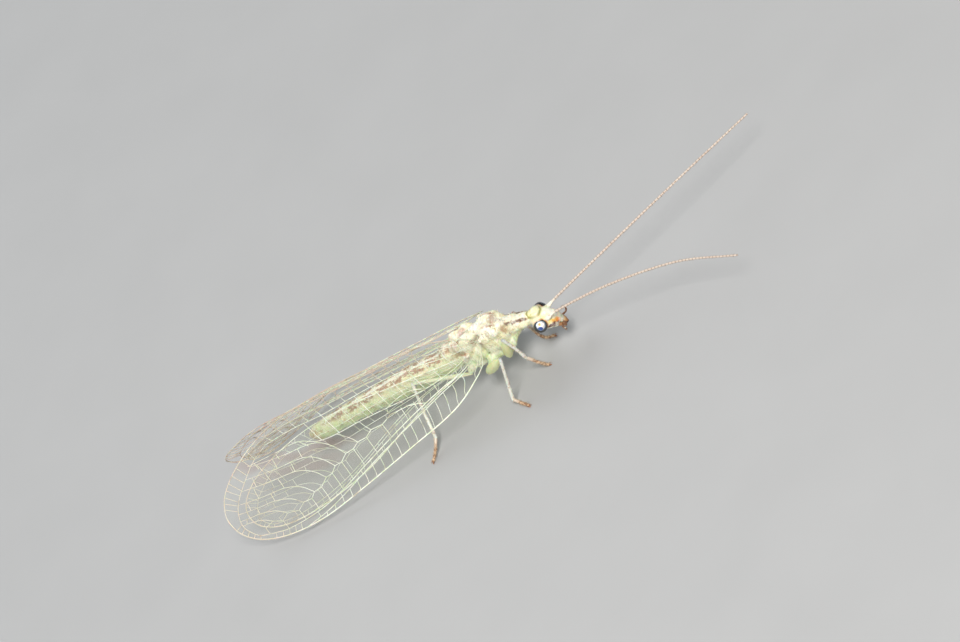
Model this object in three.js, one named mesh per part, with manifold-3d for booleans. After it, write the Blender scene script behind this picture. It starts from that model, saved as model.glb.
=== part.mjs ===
// A green lacewing at rest: a real insect, life size, in millimetres.
// X runs forward along the body, Y to its left, Z up, and the feet stand on the plane z = 0.
// The eyes are at x = 0 while the insect is put together, and the last lines centre it.
import * as THREE from "three";
import { mergeVertices } from "three/addons/utils/BufferGeometryUtils.js";
import Module from "manifold-3d";

const wasm = await Module();
wasm.setup();

// Driving sizes
const GAP = 0.1; // kept between pieces that meet
const EYE_GAP = 0.06; // an eye is close in its socket
const FINEST = 0.004; // slivers thinner than this are smoothed away

const EYE_RADIUS = 0.285;
const EYE_SPREAD = 0.42; // from the middle of the head to each eye's centre
const EYE_HEIGHT = 1.64;

const HEAD_BACK = [-0.35, 0, 1.9]; // the back of the head, where the neck enters
const HEAD_PITCH = 42; // degrees that the face points down
const HEAD_LENGTH = 1.34; // from there to the root of the mouthparts

const LIMB_RADIUS = 0.24; // of a leg or a feeler where it is thickest

const ROOF_ANGLE = 41.3; // slope of the folded wings, in degrees
const ROOF_TOP = 3.2; // height of the line where the two forewings meet

const FOREWING_LENGTH = 13.6;
const HINDWING_LENGTH = 11.9;

const radians = (degrees) => (degrees * Math.PI) / 180;
const vec = (p) => new THREE.Vector3(p[0], p[1], p[2]);

// Finishes
const finish = (color, roughness) => new THREE.MeshStandardMaterial({ color, roughness, metalness: 0 });
const PALE_GREEN = finish("#cfd79a", 0.55);
const CREAM = finish("#e6e2b4", 0.55);
const HEAD_YELLOW = finish("#dedc8e", 0.5);
const EYE_DARK = finish("#1d1512", 0.15);
const FEELER_BROWN = finish("#b89878", 0.6);
const PALP_BROWN = finish("#7d5a3c", 0.6);
const LEG_WHITE = finish("#dcdcc4", 0.6);
const TARSUS_BROWN = finish("#b5794a", 0.6);
const WING_CLEAR = finish("#cfd8bf", 0.3);

// A closed solid from points and the corners of its faces, turned so that they face out
function solidFrom(vertProperties, corners) {
  const made = new wasm.Manifold(
    new wasm.Mesh({ numProp: 3, vertProperties, triVerts: new Uint32Array(corners) }),
  );
  return made.volume() > 0 ? made : solidFrom(vertProperties, corners.reverse());
}

// A three.js geometry as a closed solid that can be cut and joined
function solidOf(geometry) {
  const bare = geometry.clone();
  bare.deleteAttribute("normal");
  bare.deleteAttribute("uv");
  const merged = mergeVertices(bare, 1e-5);
  const corners = [];
  const index = merged.index.array;
  for (let i = 0; i < index.length; i += 3) {
    const [a, b, c] = [index[i], index[i + 1], index[i + 2]];
    if (a !== b && b !== c && a !== c) corners.push(a, b, c);
  }
  return solidFrom(merged.attributes.position.array, corners);
}

// The largest closed piece of a solid
function largest(solid) {
  const pieces = solid.decompose();
  return pieces.reduce((best, piece) => (piece.volume() > best.volume() ? piece : best));
}

// A solid cut clear of its neighbours
function clearOf(solid, neighbours) {
  return largest(neighbours.reduce((left, neighbour) => left.subtract(neighbour), solid));
}

// The side of a plane that its normal points to
function cutAt(solid, point, normal) {
  return solid.trimByPlane([normal.x, normal.y, normal.z], point.dot(normal));
}

const insect = new THREE.Group();

function add(name, solid, material) {
  const mesh = largest(solid.simplify(FINEST)).getMesh();
  const geometry = new THREE.BufferGeometry();
  geometry.setAttribute("position", new THREE.BufferAttribute(mesh.vertProperties.slice(), 3));
  geometry.setIndex(new THREE.BufferAttribute(mesh.triVerts.slice(), 1));
  geometry.computeVertexNormals();
  const piece = new THREE.Mesh(geometry, material);
  piece.name = name;
  insect.add(piece);
}

// A closed skin over rings of as many points each, with a flat face at both ends
function loft(rings) {
  const sides = rings[0].length;
  const positions = rings.flat().flatMap((p) => [p.x, p.y, p.z]);
  const corners = [];
  for (let r = 0; r + 1 < rings.length; r++) {
    for (let i = 0; i < sides; i++) {
      const a = r * sides + i;
      const b = r * sides + ((i + 1) % sides);
      corners.push(a, b, b + sides, a, b + sides, a + sides);
    }
  }
  const last = (rings.length - 1) * sides;
  for (let i = 1; i + 1 < sides; i++) {
    corners.push(0, i + 1, i, last, last + i, last + i + 1);
  }
  const geometry = new THREE.BufferGeometry();
  geometry.setAttribute("position", new THREE.Float32BufferAttribute(positions, 3));
  geometry.setIndex(corners);
  return geometry;
}

// A ring round the body at x: its middle height, half width, and reach up and down
function bodyRing({ x, z, wide, up, down }, sides, grow = 0) {
  const ring = [];
  for (let i = 0; i < sides; i++) {
    const turn = (2 * Math.PI * i) / sides;
    const reach = Math.sin(turn) > 0 ? up : down;
    ring.push(new THREE.Vector3(x, Math.cos(turn) * (wide + grow), z + Math.sin(turn) * (reach + grow)));
  }
  return ring;
}

// A length of the body from back to front, or the room that it needs with grow added all round
function bodyLength(stations, sides, grow = 0) {
  const rings = stations.map((station) => bodyRing(station, sides, grow));
  if (grow > 0) {
    rings[0].forEach((p) => p.setX(p.x + (stations[0].x > stations[1].x ? grow : -grow)));
    rings.at(-1).forEach((p) => p.setX(p.x + (stations[0].x > stations[1].x ? -grow : grow)));
  }
  return solidOf(loft(rings));
}

// The head, lofted along its own axis from the neck down to the mouth
function headSolid(grow = 0) {
  const stations = [
    { at: 0, wide: 0.26, up: 0.24, down: 0.16 },
    { at: 0.12, wide: 0.42, up: 0.36, down: 0.3 },
    { at: 0.35, wide: 0.5, up: 0.46, down: 0.4 },
    { at: 0.62, wide: 0.5, up: 0.48, down: 0.42 },
    { at: 0.85, wide: 0.44, up: 0.43, down: 0.36 },
    { at: 1.08, wide: 0.34, up: 0.3, down: 0.28 },
    { at: HEAD_LENGTH, wide: 0.24, up: 0.18, down: 0.2 },
  ];
  const sides = 16;
  const back = vec(HEAD_BACK);
  const along = new THREE.Vector3(Math.cos(radians(HEAD_PITCH)), 0, -Math.sin(radians(HEAD_PITCH)));
  const upward = new THREE.Vector3(Math.sin(radians(HEAD_PITCH)), 0, Math.cos(radians(HEAD_PITCH)));
  const rings = stations.map(({ at, wide, up, down }, n) => {
    const ends = n === 0 ? -grow : n === stations.length - 1 ? grow : 0;
    const middle = back.clone().addScaledVector(along, at + ends);
    const ring = [];
    for (let i = 0; i < sides; i++) {
      const turn = (-2 * Math.PI * i) / sides;
      const reach = Math.sin(turn) > 0 ? up : down;
      const point = middle.clone().addScaledVector(upward, Math.sin(turn) * (reach + grow));
      ring.push(point.setY(Math.cos(turn) * (wide + grow)));
    }
    return ring;
  });
  return solidOf(loft(rings));
}

function eyeSolid(side, grow = 0) {
  const ball = new THREE.SphereGeometry(EYE_RADIUS + grow, 18, 12);
  ball.rotateX(Math.PI / 2);
  ball.translate(0, side * EYE_SPREAD, EYE_HEIGHT);
  return solidOf(ball);
}

// A tapering rod with round ends, its radius given at both ends
function rod(from, to, fromRadius, toRadius) {
  const length = from.distanceTo(to);
  const profile = [];
  const steps = 3;
  for (let i = 0; i <= steps; i++) {
    const turn = (Math.PI / 2) * (i / steps);
    profile.push(new THREE.Vector2(fromRadius * Math.sin(turn), -fromRadius * Math.cos(turn)));
  }
  for (let i = 0; i <= steps; i++) {
    const turn = (Math.PI / 2) * (i / steps);
    profile.push(new THREE.Vector2(toRadius * Math.cos(turn), length + toRadius * Math.sin(turn)));
  }
  profile[0].x = 0;
  profile.at(-1).x = 0;
  const geometry = new THREE.LatheGeometry(profile, 10);
  const direction = to.clone().sub(from).normalize();
  geometry.applyQuaternion(new THREE.Quaternion().setFromUnitVectors(new THREE.Vector3(0, 1, 0), direction));
  geometry.translate(from.x, from.y, from.z);
  return solidOf(geometry);
}

// A tube along a curve, round in section, whose radius is a function of the way along
function taperedTube(points, radiusAt, steps, sides) {
  const curve = new THREE.CatmullRomCurve3(points.map(vec));
  const frames = curve.computeFrenetFrames(steps, false);
  const rings = [];
  for (let n = 0; n <= steps; n++) {
    const middle = curve.getPointAt(n / steps);
    const radius = radiusAt(n / steps);
    const ring = [];
    for (let i = 0; i < sides; i++) {
      const turn = (2 * Math.PI * i) / sides;
      const offset = frames.normals[n].clone().multiplyScalar(Math.cos(turn) * radius);
      offset.addScaledVector(frames.binormals[n], Math.sin(turn) * radius);
      ring.push(offset.add(middle));
    }
    rings.push(ring);
  }
  return solidOf(loft(rings));
}

// The body from the neck to the tail
const BODY_SIDES = 16;
const PROTHORAX = [
  { x: -0.2, z: 1.82, wide: 0.36, up: 0.5, down: 0.5 },
  { x: -0.45, z: 1.82, wide: 0.44, up: 0.6, down: 0.6 },
  { x: -0.85, z: 1.84, wide: 0.47, up: 0.66, down: 0.66 },
  { x: -1.17, z: 1.86, wide: 0.45, up: 0.68, down: 0.7 },
];
const MESOTHORAX = [
  { x: -1.27, z: 1.92, wide: 0.46, up: 0.66, down: 0.74 },
  { x: -1.6, z: 1.95, wide: 0.56, up: 0.88, down: 0.84 },
  { x: -2.05, z: 1.98, wide: 0.72, up: 0.97, down: 0.95 },
  { x: -2.4, z: 1.95, wide: 0.75, up: 0.95, down: 0.98 },
  { x: -2.65, z: 1.88, wide: 0.71, up: 0.82, down: 0.95 },
];
const METATHORAX = [
  { x: -2.75, z: 1.83, wide: 0.69, up: 0.76, down: 0.92 },
  { x: -3.1, z: 1.82, wide: 0.7, up: 0.74, down: 0.88 },
  { x: -3.6, z: 1.8, wide: 0.62, up: 0.66, down: 0.72 },
  { x: -3.9, z: 1.79, wide: 0.52, up: 0.56, down: 0.56 },
];

// The abdomen swells behind its waist, narrows to the tail and is pinched between its rings
const ABDOMEN_START = -4;
const ABDOMEN_END = -10.75;
const ABDOMEN_RINGS = 8;
function abdomenStations() {
  const stations = [];
  const length = ABDOMEN_START - ABDOMEN_END;
  for (let ring = 0; ring < ABDOMEN_RINGS; ring++) {
    for (const [part, pinch] of [[0, 0.04], [0.12, 0], [0.88, 0]]) {
      stations.push(abdomenAt((ring + part) / ABDOMEN_RINGS, length, pinch));
    }
  }
  stations.push(abdomenAt(1, length, 0.04));
  return stations;
}
function abdomenAt(along, length, pinch) {
  const radius = 0.5 + 0.07 * Math.sin(Math.PI * Math.min(1, along * 1.6)) - 0.1 * along ** 2 - pinch;
  return {
    x: ABDOMEN_START - along * length,
    z: 1.78 - 0.26 * along ** 3,
    wide: radius,
    up: radius,
    down: radius,
  };
}
const TAIL = [
  { x: -10.85, z: 1.52, wide: 0.37, up: 0.36, down: 0.37 },
  { x: -11.1, z: 1.53, wide: 0.37, up: 0.36, down: 0.37 },
  { x: -11.32, z: 1.54, wide: 0.28, up: 0.28, down: 0.28 },
  { x: -11.42, z: 1.54, wide: 0.16, up: 0.16, down: 0.16 },
];

const eyes = [-1, 1].map((side) => eyeSolid(side, EYE_GAP));
const prothorax = clearOf(bodyLength(PROTHORAX, BODY_SIDES), [headSolid(GAP)]);
const thoraxRoom = [PROTHORAX, MESOTHORAX, METATHORAX].map((part) => bodyLength(part, BODY_SIDES, GAP));
const abdomenRoom = bodyLength(abdomenStations(), BODY_SIDES, GAP);

add("head", clearOf(headSolid(), eyes), HEAD_YELLOW);
add("eye_right", eyeSolid(-1), EYE_DARK);
add("eye_left", eyeSolid(1), EYE_DARK);
add("prothorax", prothorax, CREAM);
add("mesothorax", bodyLength(MESOTHORAX, BODY_SIDES), CREAM);
add("metathorax", bodyLength(METATHORAX, BODY_SIDES), PALE_GREEN);
add("abdomen", bodyLength(abdomenStations(), BODY_SIDES), PALE_GREEN);
add("abdomen_tip", bodyLength(TAIL, BODY_SIDES), PALE_GREEN);

// Upper lip and the two jaws under it, as one beak at the end of the head
function mouthparts() {
  const upperLip = rod(vec([0.6, 0, 1.1]), vec([0.72, 0, 0.97]), 0.17, 0.13);
  const jaws = [-1, 1].map((side) =>
    rod(vec([0.56, side * 0.1, 1]), vec([0.7, side * 0.06, 0.84]), 0.14, 0.09),
  );
  return jaws.reduce((whole, jaw) => whole.add(jaw), upperLip);
}
const mouth = clearOf(mouthparts(), [headSolid(GAP)]);
add("mouthparts", mouth, PALP_BROWN);

// Palps: the longer pair rises in front of the mouth, the shorter pair hangs below it
const palpRadius = (along) => 0.13 - 0.05 * along;
for (const [side, name] of [[-1, "right"], [1, "left"]]) {
  const upper = [
    [0.68, side * 0.36, 1.04],
    [0.82, side * 0.41, 1.02],
    [0.89, side * 0.39, 1.18],
    [0.85, side * 0.35, 1.35],
  ];
  const lower = [
    [0.5, side * 0.27, 0.84],
    [0.58, side * 0.33, 0.72],
    [0.58, side * 0.31, 0.58],
  ];
  const room = [headSolid(GAP), mouth];
  add(`palp_maxillary_${name}`, clearOf(taperedTube(upper, palpRadius, 8, 8), room), PALP_BROWN);
  add(`palp_labial_${name}`, clearOf(taperedTube(lower, palpRadius, 6, 8), room), PALP_BROWN);
}

// A feeler: a stout scape and pedicel, then a long flagellum that thins to its tip
function antenna(points) {
  const scape = 0.045;
  const radiusAt = (along) => {
    const stem = LIMB_RADIUS - 0.12 * along;
    return along > scape && along < 2 * scape ? stem - 0.04 : stem;
  };
  return clearOf(taperedTube(points, radiusAt, 44, 8), [headSolid(GAP)]);
}
const leftAntenna = [
  [0.38, 0.29, 1.7],
  [1.1, 0.42, 1.9],
  [3.6, 1.32, 2.12],
  [6.9, 2.9, 2.12],
  [10.1, 4.72, 1.87],
];
const rightAntenna = [
  [0.38, -0.29, 1.7],
  [1.1, -0.32, 1.88],
  [3.6, -0.5, 2.02],
  [6.6, -0.92, 1.9],
  [9.2, -1.84, 1.66],
];
add("antenna_left", antenna(leftAntenna), FEELER_BROWN);
add("antenna_right", antenna(rightAntenna), FEELER_BROWN);

// A leg from its hip to its toe, as four pieces that meet face to face at three joints
const SEGMENTS = ["coxa", "femur", "tibia", "tarsus"];
const SEGMENT_FINISH = [PALE_GREEN, LEG_WHITE, LEG_WHITE, TARSUS_BROWN];
const SEGMENT_RADII = [LIMB_RADIUS, LIMB_RADIUS, LIMB_RADIUS, 0.21, 0.14];
function leg(name, joints) {
  const points = joints.map(vec);
  const ways = points.slice(1).map((point, i) => point.clone().sub(points[i]).normalize());
  for (let i = 0; i < SEGMENTS.length; i++) {
    let piece = rod(points[i], points[i + 1], SEGMENT_RADII[i], SEGMENT_RADII[i + 1]);
    if (i > 0) {
      const fold = ways[i - 1].clone().add(ways[i]).normalize();
      piece = cutAt(piece, points[i].clone().addScaledVector(fold, GAP / 2), fold);
    }
    if (i + 1 < SEGMENTS.length) {
      const fold = ways[i].clone().add(ways[i + 1]).normalize().negate();
      piece = cutAt(piece, points[i + 1].clone().addScaledVector(fold, GAP / 2), fold);
    }
    piece = clearOf(piece, i < 2 ? thoraxRoom : []);
    piece = cutAt(piece, new THREE.Vector3(), new THREE.Vector3(0, 0, 1));
    add(`${SEGMENTS[i]}_${name}`, piece, SEGMENT_FINISH[i]);
  }
}
// Each leg's hip, the end of its coxa, its knee, its ankle and its toe
const LEGS = {
  fore_right: {
    body: [[-1.15, -0.34, 1.42], [-1.8, -0.8, 1.26], [-1.18, -1.14, 2.5]],
    foot: [[-1.2, -0.97, 1.02], [-0.79, -0.92, 0.07]],
  },
  fore_left: {
    body: [[-0.95, 0.36, 1.42], [-1.4, 0.68, 1.06], [-2.4, 1.24, 1.64]],
    foot: [[-1.35, 0.98, 0.6], [-0.5, 0.44, 0.07]],
  },
  mid_right: {
    body: [[-2.35, -0.52, 1.32], [-2.98, -0.8, 1.04], [-1.5, -1.75, 2.25]],
    foot: [[-2.37, -2, 0.3], [-1.8, -2.45, 0.07]],
  },
  mid_left: {
    body: [[-2.35, 0.52, 1.32], [-2.8, 0.8, 0.95], [-3.3, 1.6, 1.1]],
    foot: [[-2.95, 2.1, 0.4], [-2.5, 2.6, 0.07]],
  },
  hind_right: {
    body: [[-3.4, -0.45, 1.2], [-3.75, -0.76, 0.95], [-5.6, -1.55, 1.14]],
    foot: [[-6, -2.18, 0.5], [-6.44, -2.89, 0.07]],
  },
  hind_left: {
    body: [[-3.4, 0.45, 1.2], [-3.75, 0.76, 0.9], [-5.2, 1.5, 1.15]],
    foot: [[-5.35, 2, 0.5], [-5.75, 2.35, 0.07]],
  },
};
for (const [name, { body, foot }] of Object.entries(LEGS)) leg(name, [...body, ...foot]);

// A smooth line through a few points, as a height for each way along
function through(knots) {
  return (at) => {
    const last = knots.length - 1;
    const n = Math.max(0, Math.min(last - 1, knots.findIndex((knot) => knot[0] > at) - 1));
    const start = knots.findIndex((knot) => knot[0] > at) < 0 ? last - 1 : n;
    const slope = (i) => {
      const [a, b] = [Math.max(0, i - 1), Math.min(last, i + 1)];
      return (knots[b][1] - knots[a][1]) / (knots[b][0] - knots[a][0]);
    };
    const span = knots[start + 1][0] - knots[start][0];
    const t = (at - knots[start][0]) / span;
    const fromStart = (1 + 2 * t) * (1 - t) ** 2 * knots[start][1] + t * (1 - t) ** 2 * span * slope(start);
    const fromEnd = t * t * (3 - 2 * t) * knots[start + 1][1] - t * t * (1 - t) * span * slope(start + 1);
    return fromStart + fromEnd;
  };
}

// A wing in its own plane: u runs from its root to its apex, w from its axis towards the hind margin.
// turn is the slant of its axis in the plane of the roof, and veins, membrane and underside are how far
// those stand out of that plane. A main vein lies at a share of the chord from the fore margin (0) to the
// hind margin (1) from one place along the wing to another, and cross veins lace two of them together.
const FOREWING = {
  length: FOREWING_LENGTH,
  root: { x: -2.25, down: 0.9 },
  turn: 8.05,
  veins: 0.33,
  membrane: 0.26,
  underside: -0.18,
  fore: through([[0, 0.5], [1.1, 1.27], [2.3, 1.65], [5, 1.86], [7.4, 2.06], [10, 2.23], [13.6, 2.1]]),
  hind: through([[0, 0.2], [1, 0.55], [2, 0.95], [4.2, 1.55], [6.5, 1.95], [8, 2.1], [10, 2.2], [13.6, 1.8]]),
  main: {
    radius: {
      from: 0,
      to: 12.9,
      share: through([[0, 0.4], [3.4, 0.43], [5.2, 0.25], [7.2, 0.15], [9.2, 0.1], [12.9, 0]]),
    },
    sector: {
      from: 3.2,
      to: 13.6,
      share: through([[3.2, 0.44], [6, 0.41], [7.8, 0.33], [9.2, 0.25], [13.6, 0.4]]),
    },
    media: {
      from: 1.2,
      to: 13.3,
      share: through([[1.2, 0.41], [3, 0.58], [7, 0.6], [11, 0.55], [13.3, 1]]),
    },
    cubitus: {
      from: 0,
      to: 12.5,
      share: through([[0, 0.75], [3, 0.78], [7, 0.82], [10.5, 0.8], [12.5, 1]]),
    },
  },
  springs: [["sector", "radius"], ["media", "radius"]],
  ends: [["radius", "foreMargin"], ["media", "hindMargin"], ["cubitus", "hindMargin"]],
  cross: [
    { between: ["foreMargin", "radius"], first: 0.5, last: 12, count: 19, lean: -0.3 },
    { between: ["radius", "sector"], first: 3.6, last: 12.8, count: 12, lean: 0.05 },
    { between: ["sector", "media"], first: 3.8, last: 12.6, count: 12, lean: 0.25 },
    { between: ["media", "cubitus"], first: 1.6, last: 11.8, count: 11, lean: 0.3 },
    { between: ["cubitus", "hindMargin"], first: 0.6, last: 11.6, count: 12, lean: 0.4 },
  ],
};
const HINDWING = {
  length: HINDWING_LENGTH,
  root: { x: -3.2, down: 1.25 },
  turn: 8.3,
  veins: -0.29,
  membrane: -0.35,
  underside: -0.77,
  fore: through([[0, 0.3], [2, 0.48], [4, 0.82], [6, 1.22], [8, 1.4], [11.9, 1.5]]),
  hind: through([[0, 0.1], [2, 0.15], [4, 0.3], [6, 0.6], [8, 1], [9.5, 1.3], [11.9, 1.4]]),
  main: {
    radius: {
      from: 0,
      to: 11.4,
      share: through([[0, 0.4], [4, 0.35], [7, 0.22], [9.5, 0.16], [11.4, 0]]),
    },
    sector: {
      from: 3.4,
      to: 11.4,
      share: through([[3.4, 0.37], [6, 0.55], [9, 0.6], [11.4, 1]]),
    },
  },
  springs: [["sector", "radius"]],
  ends: [["radius", "foreMargin"], ["sector", "hindMargin"]],
  cross: [
    { between: ["foreMargin", "radius"], first: 2.6, last: 10.6, count: 10, lean: -0.15 },
    { between: ["radius", "sector"], first: 5, last: 11, count: 8, lean: 0.2 },
    { between: ["sector", "hindMargin"], first: 4.6, last: 10.8, count: 8, lean: 0.3 },
  ],
};
const VEIN_HALF_WIDTH = 0.09;
const VEIN_STEP = 0.9; // the longest straight length of a main vein
const NEAREST = 0.14; // cross veins that would meet a vein closer than this meet it at one point
const APEX_TURNS = [0.8, 1, 1.15, 1.3, 1.42, 1.5]; // where the margins are set closer, round the apex

// How far a margin keeps its width before it rounds off at the apex
const roundOff = (wing, u) => Math.sqrt(Math.max(0, 1 - (u / wing.length) ** 8));

// A point in the plane of a wing, at a share of its chord
function chordPoint(wing, u, share) {
  const width = wing.fore(u) + wing.hind(u);
  return new THREE.Vector2(u, (share * width - wing.fore(u)) * roundOff(wing, u));
}

// A point of a wing, lift above the plane of the roof, on the left (1) or right (-1)
function wingPoint(wing, side, { x: u, y: w }, lift) {
  const turn = radians(wing.turn);
  const slope = radians(ROOF_ANGLE);
  const x = wing.root.x - u * Math.cos(turn) - w * Math.sin(turn);
  const down = wing.root.down + u * Math.sin(turn) - w * Math.cos(turn);
  const y = down * Math.cos(slope) + lift * Math.sin(slope);
  return new THREE.Vector3(x, side * y, ROOF_TOP - down * Math.sin(slope) + lift * Math.cos(slope));
}

// The net of a wing's veins: its points, and for each point those that it is joined to
function veinNet(wing) {
  const net = { points: [], joined: [] };
  const lines = {
    foreMargin: { from: 0, to: wing.length, share: () => 0 },
    hindMargin: { from: 0, to: wing.length, share: () => 1 },
    ...wing.main,
  };
  const addPoint = (point) => {
    net.joined.push([]);
    return net.points.push(point) - 1;
  };
  const join = (a, b) => {
    net.joined[a].push(b);
    net.joined[b].push(a);
  };
  // The point of a line at u, or the one that is already near it
  const stop = (name, u) => {
    const line = lines[name];
    const near = [...line.stops.keys()].find((known) => Math.abs(known - u) < NEAREST);
    if (near !== undefined) return line.stops.get(near);
    const index = addPoint(chordPoint(wing, u, line.share(u)));
    line.stops.set(u, index);
    return index;
  };

  for (const line of Object.values(lines)) line.stops = new Map();
  stop("foreMargin", wing.length);
  lines.hindMargin.stops.set(wing.length, stop("foreMargin", wing.length));
  for (const [name, line] of Object.entries(lines)) if (line.from === 0) stop(name, 0);
  for (const [name, parent] of wing.springs) {
    lines[name].stops.set(lines[name].from, stop(parent, lines[name].from));
  }
  for (const [name, margin] of wing.ends) lines[name].stops.set(lines[name].to, stop(margin, lines[name].to));
  if (wing.main.sector.to === wing.length) {
    lines.sector.stops.set(wing.length, stop("foreMargin", wing.length));
  }

  for (const { between: [a, b], first, last, count, lean } of wing.cross) {
    for (let i = 0; i < count; i++) {
      const u = first + ((last - first) * i) / (count - 1);
      join(stop(a, u - lean / 2), stop(b, u + lean / 2));
    }
  }
  for (const name of ["foreMargin", "hindMargin"]) {
    for (const turn of APEX_TURNS) stop(name, wing.length * Math.sin(turn));
  }
  for (const [name, line] of Object.entries(lines)) {
    const places = [...line.stops.keys()].sort((a, b) => a - b);
    for (let i = 0; i + 1 < places.length; i++) {
      const parts = Math.ceil((places[i + 1] - places[i]) / VEIN_STEP);
      for (let part = 1; part < parts; part++) {
        stop(name, places[i] + ((places[i + 1] - places[i]) * part) / parts);
      }
    }
    const indices = [...line.stops].sort((a, b) => a[0] - b[0]).map((entry) => entry[1]);
    for (let i = 0; i + 1 < indices.length; i++) join(indices[i], indices[i + 1]);
  }
  // The veins that start at the root stand side by side along its edge
  const rooted = Object.values(lines).filter((line) => line.from === 0).map((line) => line.stops.get(0));
  rooted.sort((a, b) => net.points[a].y - net.points[b].y);
  for (let i = 0; i + 1 < rooted.length; i++) join(rooted[i], rooted[i + 1]);
  return net;
}

const signedArea = (ring) => THREE.ShapeUtils.area(ring);

// The cells between the veins, each a ring of point numbers, with the outline of the wing last
function netCells({ points, joined }) {
  const angle = (from, to) => Math.atan2(points[to].y - points[from].y, points[to].x - points[from].x);
  const around = joined.map((others, from) => {
    return [...new Set(others)].sort((a, b) => angle(from, a) - angle(from, b));
  });
  const walked = new Set();
  const rings = [];
  for (let start = 0; start < points.length; start++) {
    for (const towards of around[start]) {
      const ring = [];
      let [from, to] = [start, towards];
      while (!walked.has(`${from} ${to}`)) {
        walked.add(`${from} ${to}`);
        ring.push(from);
        const others = around[to];
        const next = others[(others.indexOf(from) + others.length - 1) % others.length];
        [from, to] = [to, next];
      }
      if (ring.length > 2) rings.push(ring);
    }
  }
  const areaOf = (ring) => signedArea(ring.map((index) => points[index]));
  return rings.sort((a, b) => areaOf(b) - areaOf(a));
}

// A ring drawn in by a distance, or by less where it is too narrow for that
function drawnIn(ring, distance) {
  const count = ring.length;
  const ways = ring.map((point, i) => ring[(i + 1) % count].clone().sub(point).normalize());
  const inner = ring.map((point, i) => {
    const [before, after] = [ways[(i + count - 1) % count], ways[i]];
    const inwards = new THREE.Vector2(-before.y - after.y, before.x + after.x);
    const reach = Math.min(2, 1 / Math.max(0.1, inwards.length() / 2));
    return inwards.normalize().multiplyScalar(distance * reach).add(point);
  });
  const keepsWay = inner.every((point, i) => inner[(i + 1) % count].clone().sub(point).dot(ways[i]) > 0.01);
  const isWhole = THREE.ShapeUtils.triangulateShape(inner, []).length === count - 2;
  return keepsWay && isWhole && signedArea(inner) > 0 ? inner : drawnIn(ring, distance * 0.7);
}

// A wing: a membrane whose own surface rises to a ridge along each vein, flat underneath
function wingSolid(wing, side) {
  const net = veinNet(wing);
  const rings = netCells(net);
  const outline = rings.pop();
  const vertices = net.points.map((point) => wingPoint(wing, side, point, wing.veins));
  const faces = [];
  for (const ring of rings) {
    const inner = drawnIn(ring.map((index) => net.points[index]), VEIN_HALF_WIDTH);
    const first = vertices.length;
    vertices.push(...inner.map((point) => wingPoint(wing, side, point, wing.membrane)));
    for (const face of THREE.ShapeUtils.triangulateShape(inner, [])) {
      faces.push(face.map((corner) => first + corner));
    }
    ring.forEach((from, i) => {
      const next = (i + 1) % ring.length;
      faces.push([from, ring[next], first + next], [from, first + next, first + i]);
    });
  }
  const underside = outline.map((index) => net.points[index]);
  const first = vertices.length;
  vertices.push(...underside.map((point) => wingPoint(wing, side, point, wing.underside)));
  for (const face of THREE.ShapeUtils.triangulateShape(underside, [])) {
    faces.push(face.map((corner) => first + corner).reverse());
  }
  outline.forEach((from, i) => {
    const next = (i + 1) % outline.length;
    faces.push([from, outline[next], first + next], [from, first + next, first + i]);
  });
  const geometry = new THREE.BufferGeometry().setFromPoints(vertices);
  geometry.setIndex(faces.flat());
  const outward = new THREE.Vector3(0, side, 0);
  return cutAt(solidOf(geometry), outward.clone().multiplyScalar(GAP / 2), outward);
}

for (const [side, name] of [[-1, "right"], [1, "left"]]) {
  add(`forewing_${name}`, clearOf(wingSolid(FOREWING, side), thoraxRoom), WING_CLEAR);
  add(`hindwing_${name}`, clearOf(wingSolid(HINDWING, side), [...thoraxRoom, abdomenRoom]), WING_CLEAR);
}

// The insect is centred over the origin, with its feet on the plane z = 0
const middle = new THREE.Box3().setFromObject(insect).getCenter(new THREE.Vector3());
insect.position.set(-middle.x, -middle.y, 0);

export default insect;
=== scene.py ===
import math
import random

import bpy
import numpy as np
from mathutils import Matrix, Vector, noise


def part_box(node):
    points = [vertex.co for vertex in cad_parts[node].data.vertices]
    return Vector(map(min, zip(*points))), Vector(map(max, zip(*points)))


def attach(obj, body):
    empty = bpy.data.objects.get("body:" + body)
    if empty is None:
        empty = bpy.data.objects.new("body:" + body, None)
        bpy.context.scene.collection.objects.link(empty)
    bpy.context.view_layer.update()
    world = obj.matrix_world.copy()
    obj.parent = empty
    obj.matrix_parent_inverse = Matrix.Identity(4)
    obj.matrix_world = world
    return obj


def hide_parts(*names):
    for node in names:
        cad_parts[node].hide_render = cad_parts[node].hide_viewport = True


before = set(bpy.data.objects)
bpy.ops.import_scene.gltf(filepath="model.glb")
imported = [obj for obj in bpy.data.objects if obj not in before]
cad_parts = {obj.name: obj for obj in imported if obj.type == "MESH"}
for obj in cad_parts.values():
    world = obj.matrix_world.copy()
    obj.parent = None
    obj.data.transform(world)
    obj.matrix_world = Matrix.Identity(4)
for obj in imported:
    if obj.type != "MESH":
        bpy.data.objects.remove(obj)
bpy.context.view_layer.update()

# Camera, light and floor: a green lacewing stands life size on a pale studio floor.
# Every place below is in millimetres from the floor under the middle of its two eyes, with X forward,
# Y to its left and Z up. The camera looks down from its right front and is rolled, as the photograph is.
MM = 0.001
EYE_MIDDLES = [(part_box(f"eye_{side}")[0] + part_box(f"eye_{side}")[1]) / 2 for side in ("right", "left")]
UNDER_EYES = Vector(((EYE_MIDDLES[0] + EYE_MIDDLES[1]) / 2)[:2] + (0,))


def placed(point):
    return UNDER_EYES + Vector(point) * MM


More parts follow.
